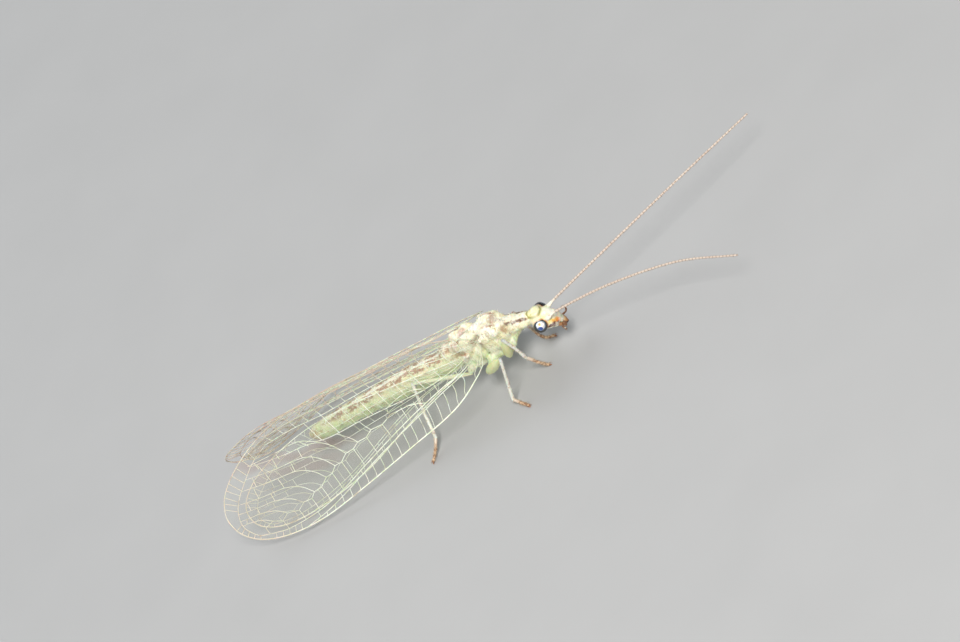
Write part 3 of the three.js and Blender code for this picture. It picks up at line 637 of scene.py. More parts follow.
skin_paint, tree, shader = new_material(
    "cuticle",
    roughness=0.4,
    subsurface_weight=0.25,
    subsurface_scale=0.0004,
    coat_weight=0.25,
    coat_roughness=0.25,
)
tree.links.new(marked(tree), shader.inputs["Base Color"])
place = millimetres(tree)
grainy = noise_of(tree, place, 14.0, 3.0, 0.6)
inputs = {"Vector": place, "Scale": 2.6, "Distortion": 3.0, "Detail": 3.0}
wrinkles = add_node(tree, "ShaderNodeTexWave", inputs)
relief = calculate(tree, "ADD", grainy, calculate(tree, "MULTIPLY", wrinkles.outputs["Fac"], 0.5))
add_bump(tree, shader, relief, 0.03)
finish_piece(skin, [skin_paint])
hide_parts("head", "prothorax", "mesothorax", "metathorax", "abdomen", "abdomen_tip")
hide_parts(*[f"coxa_{leg}" for leg in LEGS])


# Hairs are solid slivers, each bent once and sunk into what it grows from. Each has a patch of the map
# OFBake at its root's place on an unrolled skin.
PATCH = 0.0015
dice = random.Random(11)


def add_hair(shape, root, way, length, thickness, patch, droop=(0, 0, 0)):
    way = Vector(way).normalized()
    side = way.orthogonal().normalized()
    across = way.cross(side)
    first = len(shape["corners"])
    middle = Vector(root) + way * length * 0.5
    tip = middle + (way + Vector(droop)).normalized() * length * 0.5
    for centre, reach in ((Vector(root) - way * thickness, 1), (middle, 0.7)):
        for n in range(3):
            cosine = math.cos(2 * math.pi * n / 3)
            sine = math.sin(2 * math.pi * n / 3)
            shape["corners"].append(centre + (side * cosine + across * sine) * thickness * reach)
            shape["marks"].append((patch[0] + PATCH * cosine * reach, patch[1] + PATCH * sine * reach))
    shape["corners"].append(tip)
    shape["marks"].append(patch)
    shape["faces"].append((first + 2, first + 1, first))
    for n in range(3):
        a, b = first + n, first + (n + 1) % 3
        shape["faces"] += [(a, b, b + 3, a + 3), (a + 3, b + 3, first + 6)]
    shape["finishes"] += [0] * 7


def hair_paint(name, colour, roughness=0.5):
    material, tree, shader = new_material(name, roughness=roughness)
    shade = painted(tree, colour, tuple(c * 0.55 for c in colour), noise_of(tree, millimetres(tree), 6.0))
    tree.links.new(shade, shader.inputs["Base Color"])
    return material


skin_hair_paint, tree, shader = new_material("skin_hair", roughness=0.35)
tree.links.new(painted(tree, marked(tree), (0.93, 0.9, 0.8), 0.3), shader.inputs["Base Color"])
SKIN_HAIRS = 2600
BARE_ROUND_EYE = 0.42
SKIN_HAIR_LENGTHS = (0.07, 0.16)
SKIN_HAIR_THICKNESS = 0.0055
faces = list(skin.data.polygons)
areas = [face.area for face in faces]
shape = new_shape()
for face in dice.choices(faces, weights=areas, k=SKIN_HAIRS):
    root = (face.center - UNDER_EYES) / MM
    near_eye = (root - Vector((0.05, math.copysign(0.42, root.y), 1.64))).length < BARE_ROUND_EYE
    if near_eye or root.z < 0.5:
        continue
    way = face.normal * 0.75 + Vector((-0.6, 0, 0.1))
    unrolled = (root.x / 12 + 0.97, math.atan2(root.y, root.z - 1.8) / (2 * math.pi) + 0.5)
    on_face = max(0, min(1, (root.x + 0.6) / 0.5))
    length = dice.uniform(*SKIN_HAIR_LENGTHS) * (1 - 0.55 * on_face)
    thickness = SKIN_HAIR_THICKNESS - 0.0015 * on_face
    add_hair(shape, root, way, length, thickness, unrolled, (-0.5, 0, -0.2))
finish_piece(mesh_of("skin_hair", shape, uv_name="OFBake"), [skin_hair_paint])

# Eyes: two domes of small six-sided facets of clear cuticle, near black, with a painted reflection in the
# middle, pale and metallic, placed where each eye faces the camera. Each is set in an orange rim of the skin,
# on the side of the head.
EYE_RADIUS = (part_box("eye_right")[1].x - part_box("eye_right")[0].x) / 2 / MM
# The ways on each eye where its painted reflection is centred
PAINTED_REFLECTION_WAYS = {"right": (0.459, 0.656, 0.599), "left": (0.5, 0.85, 0.1)}
FACET_GROOVE = 0.0025
FACET_RISE = 0.003
FACET_ROOM = 0.985  # the bare dome's share of the radius, which leaves room for the facets
eye_paint, tree, shader = new_material("eye", roughness=0.12, coat_weight=1.0, coat_roughness=0.05)
place = millimetres(tree)
mirrored = both_sides(tree, place)
from_middle = add_node(tree, "ShaderNodeVectorMath", {0: mirrored, 1: eye_place}, operation="SUBTRACT")
outwards = add_node(tree, "ShaderNodeVectorMath", {0: from_middle.outputs[0]}, operation="NORMALIZE")
on_left = fade(tree, split(tree, place)["Y"], -0.1, 0.1)
facing = {}
for side, way in PAINTED_REFLECTION_WAYS.items():
    inputs = {0: outwards.outputs[0], 1: way}
    facing[side] = add_node(tree, "ShaderNodeVectorMath", inputs, operation="DOT_PRODUCT").outputs["Value"]
turned = calculate(tree, "MULTIPLY", calculate(tree, "SUBTRACT", facing["left"], facing["right"]), on_left)
uneven = swing(tree, noise_of(tree, mirrored, 3.5), 0.12)
# The eye's colour: near black, with a painted reflection where it faces these ways
painted_reflection = calculate(tree, "ADD", calculate(tree, "ADD", facing["right"], turned), uneven)
ramp = add_node(tree, "ShaderNodeValToRGB", {"Fac": painted_reflection})
bands = ramp.color_ramp
bands.elements[0].position = 0.7
bands.elements[0].color = (0.006, 0.005, 0.006, 1)
bands.elements[1].position = 1.0
bands.elements[1].color = (0.92, 0.84, 0.78, 1)
for position, band in ((0.745, (0.02, 0.05, 0.13)), (0.79, (0.35, 0.48, 0.6)), (0.86, (0.85, 0.84, 0.82))):
    bands.elements.new(position).color = (*band, 1)


def towards(way, none, full):
    near = add_node(tree, "ShaderNodeVectorMath", {0: outwards.outputs[0], 1: way}, operation="DOT_PRODUCT")
    shaken = calculate(tree, "ADD", near.outputs["Value"], calculate(tree, "MULTIPLY", uneven, 0.3))
    return fade(tree, shaken, none, full)


# A blue patch and an orange spot, painted within the painted reflection
within = fade(tree, painted_reflection, 0.76, 0.82)
reflection_blue_patch = all_of(tree, towards((0.17, 0.95, 0.26), 0.9, 0.95), within)
reflection_orange_spot = all_of(tree, towards((0.37, 0.56, 0.74), 0.965, 0.99), within, 0.9)
colour = painted(tree, ramp.outputs["Color"], (0.02, 0.07, 0.3), reflection_blue_patch)
colour = painted(tree, colour, (0.8, 0.3, 0.05), reflection_orange_spot)
tree.links.new(colour, shader.inputs["Base Color"])
# The painted reflection is made metallic as well
tree.links.new(calculate(tree, "MULTIPLY", fade(tree, painted_reflection, 0.74, 0.8), 0.6), shader.inputs["Metallic"])
for side, name in ((-1, "right"), (1, "left")):
    bpy.ops.object.select_all(action="DESELECT")
    bpy.ops.mesh.primitive_ico_sphere_add(
        subdivisions=4, radius=EYE_RADIUS * FACET_ROOM, location=(0, side * eye_place[1], eye_place[2])
    )
    eye = bpy.context.object
    bpy.ops.object.transform_apply(location=True, rotation=True, scale=True)
    bpy.ops.object.mode_set(mode="EDIT")
    bpy.ops.mesh.select_all(action="SELECT")
    bpy.ops.mesh.bevel(offset_type="PERCENT", offset_pct=33, affect="VERTICES")
    bpy.ops.mesh.select_all(action="SELECT")
    bpy.ops.mesh.inset(use_individual=True, thickness=FACET_GROOVE, depth=FACET_RISE)
    bpy.ops.object.mode_set(mode="OBJECT")
    eye.data.transform(Matrix.Translation(UNDER_EYES) @ Matrix.Scale(MM, 4))
    bpy.ops.object.shade_smooth()
    eye.name = f"eye_dome_{name}"
    finish_piece(eye, [eye_paint], [f"eye_{name}"])

# Mouth: a pale lip over two brown jaws with dark points, and beside them a long pair of palps that
# curls up in front of the face and a short pair that hangs, each of a few joints
horn, tree, shader = new_material("horn", roughness=0.35, coat_weight=0.2)
place = millimetres(tree)
parts = split(tree, both_sides(tree, place))
grain = noise_of(tree, place, 9.0)
colour = painted(tree, (0.26, 0.11, 0.04), (0.46, 0.25, 0.11), grain)
points_dark = all_of(tree, fade(tree, parts["Z"], 0.98, 0.86), fade(tree, parts["Y"], 0.2, 0.1))
colour = painted(tree, colour, (0.07, 0.025, 0.015), points_dark)
tree.links.new(colour, shader.inputs["Base Color"])
add_bump(tree, shader, grain, 0.02)


def jointed(joints, radii):
    points, thick = [], []
    for start, end, near, far in zip(joints, joints[1:], radii, radii[1:]):
        for t, swell in ((0.03, 0.6), (0.14, 0.92), (0.5, 1.06), (0.84, 1.05), (0.96, 0.72)):
            points.append(Vector(start).lerp(Vector(end), t))
            thick.append((near + (far - near) * t) * swell)
    return points, thick


def flow(points, step):
    points = [Vector(point) for point in points]
    ends = [points[0] * 2 - points[1], *points, points[-1] * 2 - points[-2]]
    line = [points[0]]
    for a, b, c, d in zip(ends, ends[1:], ends[2:], ends[3:]):
        count = max(1, round((c - b).length / step))
        for i in range(1, count + 1):
            t = i / count
            bend = (c - a) * t + (a * 2 - b * 5 + c * 4 - d) * t**2 + (b * 3 - a - c * 3 + d) * t**3
            line.append(b + bend / 2)
    return line


def flattened(turn):
    return 1 / math.hypot(math.cos(turn), math.sin(turn) / 0.42)


lip_paint, tree, shader = new_material("lip", roughness=0.38, coat_weight=0.2)
place = millimetres(tree)
z = split(tree, place)["Z"]
colour = painted(tree, (0.8, 0.64, 0.36), (0.46, 0.22, 0.07), fade(tree, z, 1.12, 0.96))
colour = painted(tree, colour, (0.16, 0.07, 0.03), fade(tree, z, 0.92, 0.86))
mottles = all_of(tree, fade(tree, noise_of(tree, place, 9.0), 0.54, 0.62), 0.9)
colour = painted(tree, colour, (0.26, 0.1, 0.04), mottles)
tree.links.new(colour, shader.inputs["Base Color"])
shape = new_shape()
add_tube(
    shape,
    [(0.55, 0, 1.19), (0.62, 0, 1.1), (0.68, 0, 1.0), (0.73, 0, 0.92), (0.75, 0, 0.87)],
    [0.19, 0.17, 0.13, 0.085, 0.04],
    20,
    flattened,
    finish=1,
)
lower_lip = [(0.4, 0, 1.12), (0.5, 0, 1.0), (0.58, 0, 0.9), (0.62, 0, 0.84)]
add_tube(shape, lower_lip, [0.16, 0.14, 0.1, 0.05], 16, flattened, finish=1)
for side in (-1, 1):
    bends = [(0.46, 0.21, 1.12), (0.57, 0.2, 1.01), (0.67, 0.13, 0.91), (0.73, 0.02, 0.83)]
    jaw = flow([(px, side * py, pz) for px, py, pz in bends], 0.05)
    add_tube(shape, jaw, [0.085 - 0.075 * (n / len(jaw)) ** 1.2 for n in range(len(jaw))], 12)
mouth = mesh_of("lip_and_jaws", shape)
finish_piece(mouth, [horn, lip_paint], ["mouthparts"])

palp_paint, tree, shader = new_material("palp", roughness=0.35, coat_weight=0.2)
# Brown palps with pale patches, partly their own pale colour and partly painted highlight
pale_tone_and_highlight = fade(tree, noise_of(tree, millimetres(tree), 6.0), 0.55, 0.62)
colour = painted(tree, (0.19, 0.08, 0.035), (0.76, 0.66, 0.5), pale_tone_and_highlight)
tree.links.new(colour, shader.inputs["Base Color"])
palp_hair = hair_paint("palp_hair", (0.42, 0.28, 0.17))
hairs = new_shape()
PALPS = {
    "maxillary": (
        [
            (0.58, 0.22, 1.06),
            (0.7, 0.32, 1.0),
            (0.79, 0.38, 1.03),
            (0.84, 0.39, 1.13),
            (0.84, 0.37, 1.24),
            (0.8, 0.34, 1.35),
        ],
        [0.034, 0.038, 0.04, 0.037, 0.034, 0.022],
    ),
    "labial": (
        [(0.5, 0.2, 0.93), (0.55, 0.26, 0.86), (0.57, 0.28, 0.78), (0.55, 0.27, 0.69)],
        [0.034, 0.036, 0.033, 0.022],
    ),
}
PALP_HAIRS = 40
PALP_HAIR_LENGTH = 0.07
for side, name in ((-1, "right"), (1, "left")):
    for pair, (joints, radii) in PALPS.items():
        shape = new_shape()
        points, thick = jointed([(px, side * py, pz) for px, py, pz in joints], radii)
        add_tube(shape, points, thick, 10)
        palp = mesh_of(f"jointed_palp_{pair}_{name}", shape)
        finish_piece(palp, [palp_paint], [f"palp_{pair}_{name}"])
        for _ in range(PALP_HAIRS):
            n = dice.randrange(len(points))
            turn = dice.uniform(0, 2 * math.pi)
            way = Vector((math.cos(turn), math.sin(turn), 0.3))
            root = points[n] + way.normalized() * thick[n] * 0.8
            add_hair(hairs, root, way, PALP_HAIR_LENGTH, 0.005, (n / 40, turn / 6.3))
finish_piece(mesh_of("palp_hair", hairs, uv_name="OFBake"), [palp_hair])

# Feelers: a stout cream scape and a pedicel, then a flagellum of some sixty short joints with a whorl of
# hairs each. The left one is nearly straight and the right one droops at its end.
FLAGELLUM_JOINT = 0.155
STEPS_IN_JOINT = 4
SCAPE_STEPS = 8
PEDICEL_STEPS = 4
FEELER_HAIR_LENGTH = 0.075
FEELER_BENDS = {
    "left": [(0.38, 0.29, 1.7), (1.1, 0.42, 1.9), (3.6, 1.32, 2.12), (6.9, 2.9, 2.12), (10.1, 4.72, 1.87)],
    "right": [
        (0.38, -0.29, 1.7),
        (1.1, -0.32, 1.88),
        (3.6, -0.5, 2.02),
        (6.6, -0.92, 1.9),
        (9.2, -1.84, 1.66),
    ],
}


def along_piece(tree):
    lengths = add_node(tree, "ShaderNodeUVMap", uv_map="Along")
    return split(tree, lengths.outputs["UV"])


feeler_paint, tree, shader = new_material("feeler", roughness=0.5)
length = along_piece(tree)["X"]
in_joint = calculate(tree, "FRACT", calculate(tree, "DIVIDE", length, FLAGELLUM_JOINT))
joint_line = fade(tree, calculate(tree, "ABSOLUTE", calculate(tree, "SUBTRACT", in_joint, 0.5)), 0.3, 0.46)
joint_line = all_of(tree, joint_line, fade(tree, length, 0.5, 0.6))
place = millimetres(tree)
colour = painted(tree, (0.64, 0.57, 0.48), (0.56, 0.43, 0.35), noise_of(tree, place, 1.5))
colour = painted(tree, colour, (0.28, 0.18, 0.13), all_of(tree, joint_line, 0.75))
pale_end = painted(tree, (0.82, 0.79, 0.66), PINK_BROWN, fade(tree, noise_of(tree, place, 6.0), 0.56, 0.7))
colour = painted(tree, colour, pale_end, fade(tree, length, 0.7, 0.34))
tree.links.new(colour, shader.inputs["Base Color"])
add_bump(tree, shader, joint_line, 0.01)
feeler_hair = hair_paint("feeler_hair", (0.4, 0.26, 0.17))
hairs = new_shape()
for name, bends in FEELER_BENDS.items():
    line = flow(bends, FLAGELLUM_JOINT / STEPS_IN_JOINT)
    thick = []
    for n in range(len(line)):
        in_joint = abs((n / STEPS_IN_JOINT) % 1 - 0.5) * 2
        if n < SCAPE_STEPS:
            thick.append(0.096 - 0.003 * n)
        elif n < SCAPE_STEPS + PEDICEL_STEPS:
            thick.append(0.056 if n in (SCAPE_STEPS, SCAPE_STEPS + PEDICEL_STEPS - 1) else 0.066)
        else:
            thick.append((0.05 - 0.014 * n / len(line)) * (1.08 - 0.2 * in_joint**2))
    shape = new_shape()
    add_tube(shape, line, thick, 10)
    feeler = mesh_of(f"feeler_{name}", shape)
    finish_piece(feeler, [feeler_paint], [f"antenna_{name}"])
    for n in range(14, len(line) - 1, 2):
        way = (line[n + 1] - line[n]).normalized()
        side = way.orthogonal().normalized()
        for _ in range(3):
            turn = dice.uniform(0, 2 * math.pi)
            out = side * math.cos(turn) + way.cross(side) * math.sin(turn)
            root = line[n] + out * thick[n] * 0.9
            patch = (n / 300, turn / 6.3)
            add_hair(hairs, root, out + way * 1.1, FEELER_HAIR_LENGTH, 0.0045, patch)
finish_piece(mesh_of("feeler_hair", hairs, uv_name="OFBake"), [feeler_hair])

# Legs: a clear green femur, broad in the front and middle pairs, a thin white tibia, and a foot of five
# short joints, brown and furry, with two claws and a pad. Each hangs in the end of its coxa.
leg_paint, tree, shader = new_material("leg", roughness=0.4, subsurface_weight=0.4, subsurface_scale=0.0003)
place = millimetres(tree)
colour = painted(tree, (0.6, 0.68, 0.3), (0.76, 0.79, 0.5), noise_of(tree, place, 3.0))
on_hind_legs = all_of(tree, fade(tree, split(tree, place)["X"], -3.4, -4.2), 0.8)
colour = painted(tree, colour, (0.72, 0.74, 0.55), on_hind_legs)
tree.links.new(colour, shader.inputs["Base Color"])
add_bump(tree, shader, noise_of(tree, place, 16.0), 0.015)
shin_paint, tree, shader = new_material(
    "shin", roughness=0.42, subsurface_weight=0.3, subsurface_scale=0.0003
)
dull_patches = fade(tree, noise_of(tree, millimetres(tree), 7.0), 0.5, 0.7)
colour = painted(tree, (0.78, 0.76, 0.67), (0.56, 0.48, 0.37), dull_patches)
tree.links.new(colour, shader.inputs["Base Color"])
foot_paint, tree, shader = new_material("foot", roughness=0.5)
furry = fade(tree, noise_of(tree, millimetres(tree), 9.0, 3.0), 0.38, 0.6)
colour = painted(tree, (0.28, 0.14, 0.07), (0.6, 0.42, 0.26), furry)
near_shin = all_of(tree, fade(tree, along_piece(tree)["X"], 0.5, 0.08), 0.8)
colour = painted(tree, colour, (0.7, 0.62, 0.52), near_shin)
tree.links.new(colour, shader.inputs["Base Color"])
claw_paint, tree, shader = new_material("claw", roughness=0.3)
colour = painted(tree, (0.2, 0.08, 0.04), (0.45, 0.2, 0.08), noise_of(tree, millimetres(tree), 12.0))
tree.links.new(colour, shader.inputs["Base Color"])
leg_hair = hair_paint("leg_hair", (0.9, 0.87, 0.76), 0.35)
foot_hair = hair_paint("foot_hair", (0.76, 0.6, 0.42))
leg_hairs, foot_hairs = new_shape(), new_shape()
FEMUR_RADII = {"fore": 0.2, "mid": 0.2, "hind": 0.09}
SHIN_RADIUS = 0.07
FEMUR_HAIRS, SHIN_HAIRS, FOOT_HAIRS = 60, 130, 170
LEG_HAIR_LENGTH = 0.1
FOOT_HAIR_LENGTH = 0.085
FOOT_BOWS = {"fore_left": (-0.04, -0.2, -0.14)}  # the one foot that curls in under the head


def fur(shape, line, thick, count, length, lean):
    for _ in range(count):
        n = dice.randrange(len(line) - 1)
        t = dice.random()
        way = (line[n + 1] - line[n]).normalized()
        side = way.orthogonal().normalized()
        turn = dice.uniform(0, 2 * math.pi)
        out = side * math.cos(turn) + way.cross(side) * math.sin(turn)
        root = line[n].lerp(line[n + 1], t) + out * (thick[n] + (thick[n + 1] - thick[n]) * t) * 0.9
        if root.z > 0.05 or out.z > 0:
            hair = length * dice.uniform(0.7, 1.2)
            if root.z + out.z * hair > 0.01:
                add_hair(shape, root, out + way * lean, hair, 0.005, ((n + t) / 60, turn / 6.3))


for leg, joints in LEGS.items():
    coxa_end, knee, ankle, toe = (Vector(joints[name]) for name in ("coxa_end", "knee", "ankle", "toe"))
    stout = FEMUR_RADII[leg.split("_")[0]]
    shape = new_shape()
    femur = [coxa_end.lerp(knee, t) for t in (-0.03, 0.05, 0.2, 0.4, 0.6, 0.78, 0.9, 1)]
    thick = [stout * t for t in (0.6, 0.8, 1, 1.02, 0.85)] + [0.5 * stout + 0.03, 0.082, 0.066]
    add_tube(shape, femur, thick, 16)
    fur(leg_hairs, femur, thick, FEMUR_HAIRS, LEG_HAIR_LENGTH, 1.0)
    bow = (ankle - knee).cross(Vector((0, 0, 1))).normalized() * 0.04
    shin = flow([knee, knee.lerp(ankle, 0.5) + bow, ankle], 0.2)
    thick = [SHIN_RADIUS - 0.01 * math.sin(math.pi * n / (len(shin) - 1)) for n in range(len(shin))]
    add_tube(shape, shin, thick, 12, finish=1)
    fur(leg_hairs, shin, thick, SHIN_HAIRS, LEG_HAIR_LENGTH, 0.9)
    limb = mesh_of(f"limb_{leg}", shape)
    finish_piece(limb, [leg_paint, shin_paint], [f"femur_{leg}", f"tibia_{leg}"])

    shape = new_shape()
    floor_way = (toe - ankle).normalized()
    bow = Vector(FOOT_BOWS.get(leg, (0, 0, -0.1 * min(1, ankle.z))))
    foot_joints = [ankle.lerp(toe, t) + bow * math.sin(math.pi * t) for t in (0, 0.38, 0.56, 0.7, 0.82, 1)]
    points, thick = jointed(foot_joints, [0.065, 0.062, 0.06, 0.058, 0.055, 0.06])
    add_tube(shape, points, thick, 12)
    fur(foot_hairs, points, thick, FOOT_HAIRS, FOOT_HAIR_LENGTH, 0.7)
    flat_way = Vector((floor_way.x, floor_way.y, 0)).normalized()
    across = flat_way.cross(Vector((0, 0, 1)))
    for side in (-1, 1):
        root = toe + across * side * 0.03
        arch = root + flat_way * 0.07 + across * side * 0.03 + Vector((0, 0, 0.02))
        point = root + flat_way * 0.12 + across * side * 0.04 - Vector((0, 0, 0.04))
        claw = flow([root, arch, point], 0.03)
        add_tube(shape, claw, [0.02, 0.017, 0.014, 0.01, 0.005][: len(claw)], 8, finish=1)
    pad = [toe + flat_way * 0.03 - Vector((0, 0, 0.03)), toe + flat_way * 0.08 - Vector((0, 0, 0.05))]
    add_tube(shape, pad, [0.035, 0.02], 10, finish=1)
    foot = mesh_of(f"foot_{leg}", shape)
    finish_piece(foot, [foot_paint, claw_paint], [f"tarsus_{leg}"])
finish_piece(mesh_of("leg_hair", leg_hairs, uv_name="OFBake"), [leg_hair])
finish_piece(mesh_of("foot_hair", foot_hairs, uv_name="OFBake"), [foot_hair])

# Wings: four clear membranes a few thousandths of a millimetre thick, stiffened by a net of round veins,
# rooted at knobs on the sides of the thorax and folded over the back like a roof. On a wing u runs from
# its root to its apex, and w from its axis to its hind margin.
ROOF_ANGLE = math.radians(41.3)
ROOF_TOP = 3.2


def smooth(knots):
    def height(at):
        last = len(knots) - 1
        n = max(0, min(last - 1, sum(knot[0] <= at for knot in knots) - 1))
        span = knots[n + 1][0] - knots[n][0]
        t = max(0, min(1, (at - knots[n][0]) / span))
        slopes = []
        for i in (n, n + 1):
            a, b = max(0, i - 1), min(last, i + 1)
            slopes.append((knots[b][1] - knots[a][1]) / (knots[b][0] - knots[a][0]))
        start = (1 + 2 * t) * (1 - t) ** 2 * knots[n][1] + t * (1 - t) ** 2 * span * slopes[0]
        return start + t * t * (3 - 2 * t) * knots[n + 1][1] - t * t * (1 - t) * span * slopes[1]

    return height


FOREWING = {
    "length": 13.6,
    "root": (-2.25, 0.9),
    "turn": math.radians(8.05),
    "lift": 0.04,
    "fore": smooth(
        [(0, 0.16), (0.15, 0.5), (0.34, 0.84), (0.9, 1.13), (1.6, 1.43), (2.3, 1.63)]
        + [(3.3, 1.76), (4.5, 1.84), (6.4, 1.98), (7.4, 2.05), (10, 2.2), (13.6, 2.1)]
    ),
    "hind": smooth(
        [(0, 0.1), (0.4, 0.34), (1, 0.68), (2, 1.1), (4.2, 1.58)]
        + [(6.5, 1.95), (8, 2.1), (10, 2.2), (13.6, 1.8)]
    ),
}
HINDWING = {
    "length": 11.9,
    "root": (-3.2, 1.25),
    "turn": math.radians(8.3),
    "lift": -0.33,
    "fore": smooth([(0, 0.14), (0.4, 0.3), (2, 0.5), (4, 0.85), (6, 1.25), (8, 1.42), (11.9, 1.5)]),
    "hind": smooth([(0, 0.1), (1, 0.3), (2, 0.52), (4, 0.95), (6, 1.32), (8, 1.5), (11.9, 1.4)]),
}


CAMBER = 0.05
RIPPLE = 0.012
# The left wings hang steeper towards their tips, and lose this share of their spread there. Near their
# roots they sink this far behind their front edge.
LEFT_HANG = 0.6
HANG_START = -10.5
HANG_LENGTH = 5.2
LEFT_BOW = 0.13


def round_off(wing, u):
    return math.sqrt(max(0, 1 - (u / wing["length"]) ** 8))


def wing_point(wing, side, u, w):
    x = wing["root"][0] - u * math.cos(wing["turn"]) - w * math.sin(wing["turn"])
    down = wing["root"][1] + u * math.sin(wing["turn"]) - w * math.cos(wing["turn"])
    lift = wing["lift"] + RIPPLE * math.sin(w * 8 + u)
    lift += CAMBER * math.sin(min(u, 3) / 3 * math.pi / 2) * (1 - (w / 2.2) ** 2)
    if side > 0:
        inside_costa = max(0, min(1, (w + wing["fore"](u)) / 0.9))
        lift -= LEFT_BOW * inside_costa * max(0, min(1, u, (10 - u) / 4))
    y = down * math.cos(ROOF_ANGLE) + lift * math.sin(ROOF_ANGLE)
    if side > 0:
        t = max(0, min(1, (HANG_START - x) / HANG_LENGTH))
        y *= 1 - LEFT_HANG * t * t * (3 - 2 * t)
    return Vector((x, side * y, ROOF_TOP - down * math.sin(ROOF_ANGLE) + lift * math.cos(ROOF_ANGLE)))


# A hind wing has the same net as a forewing, drawn to its own outline
def fitted(wing, u, w):
    if wing is FOREWING:
        return u, w
    own_u = u / FOREWING["length"] * wing["length"]
    cut = max(0.02, round_off(FOREWING, u))
    share = (w + FOREWING["fore"](u) * cut) / ((FOREWING["fore"](u) + FOREWING["hind"](u)) * cut)
    share = max(0, min(1, share))
    width = (wing["fore"](own_u) + wing["hind"](own_u)) * round_off(wing, own_u)
    return own_u, share * width - wing["fore"](own_u) * round_off(wing, own_u)


def margin(u, edge):
    return (-FOREWING["fore"](u) if edge == "fore" else FOREWING["hind"](u)) * round_off(FOREWING, u)


# The net of a forewing. Lines are (thickness, smoothed or straight, points along them)
COSTA, MAIN, THIN, FINE = 0.023, 0.0195, 0.017, 0.0145
subcosta = smooth(
    [(0, -0.1), (0.6, -0.5), (1.34, -0.7), (2.4, -0.82), (4.05, -1.06)]
    + [(5.9, -1.34), (7.26, -1.59), (8.31, -1.8), (9.5, -1.98), (10.6, -2.03)]
)
radius = smooth(
    [(0, -0.06), (0.6, -0.42), (1.27, -0.6), (2.26, -0.66), (4.03, -0.86), (5.29, -1.06)]
    + [(6.98, -1.37), (8.46, -1.66), (9.83, -1.78), (11.4, -1.66), (12.2, -1.42)]
)
media = smooth(
    [(0, -0.02), (1.3, -0.3), (2.5, -0.34), (3.6, -0.24), (4.91, -0.03), (6.24, 0.17)]
    + [(7.39, 0.3), (8.27, 0.5), (9.04, 0.95), (10.2, 1.12), (11.6, 1.32)]
)
cubitus = smooth(
    [(0, 0.02), (1, 0.12), (2, 0.36), (3.2, 0.72), (4.5, 0.96)]
    + [(6, 1.12), (7.5, 1.26), (9, 1.5), (10.4, 1.62)]
)
around_apex = [(12.2, -1.42), (12.75, -1.17), (13.12, -0.63), (13.12, -0.2), (12.9, 0.2)]
around_apex += [(12.56, 0.55), (11.81, 1.04), (11.2, 1.38), (10.4, 1.62)]
high_corners = [4.9, 5.98, 6.76, 7.48, 8.17, 8.77, 9.56, 10.22, 11.1, 11.85]
low_corners = [5.42, 6.32, 7.08, 7.83, 8.45, 9.18, 9.82, 10.58, 11.45, 12.3]
sector_high = smooth(
    [(4.05, -0.45), (4.9, -0.33), (5.98, -0.36), (6.76, -0.45), (7.48, -0.54), (8.17, -0.69)]
    + [(8.77, -0.86), (9.56, -1.05), (10.22, -1.15), (11.1, -1.12), (12.3, -1.0)]
)
sector_low = smooth(
    [(5.42, -0.46), (6.32, -0.5), (7.08, -0.57), (7.83, -0.72), (8.45, -0.87)]
    + [(9.18, -1.07), (9.82, -1.21), (10.58, -1.3), (11.45, -1.27), (12.3, -1.1)]
)


def traced(height, first, last, step=0.25):
    count = max(1, round((last - first) / step))
    places = [first + (last - first) * i / count for i in range(count + 1)]
    return [(u, height(u)) for u in places]


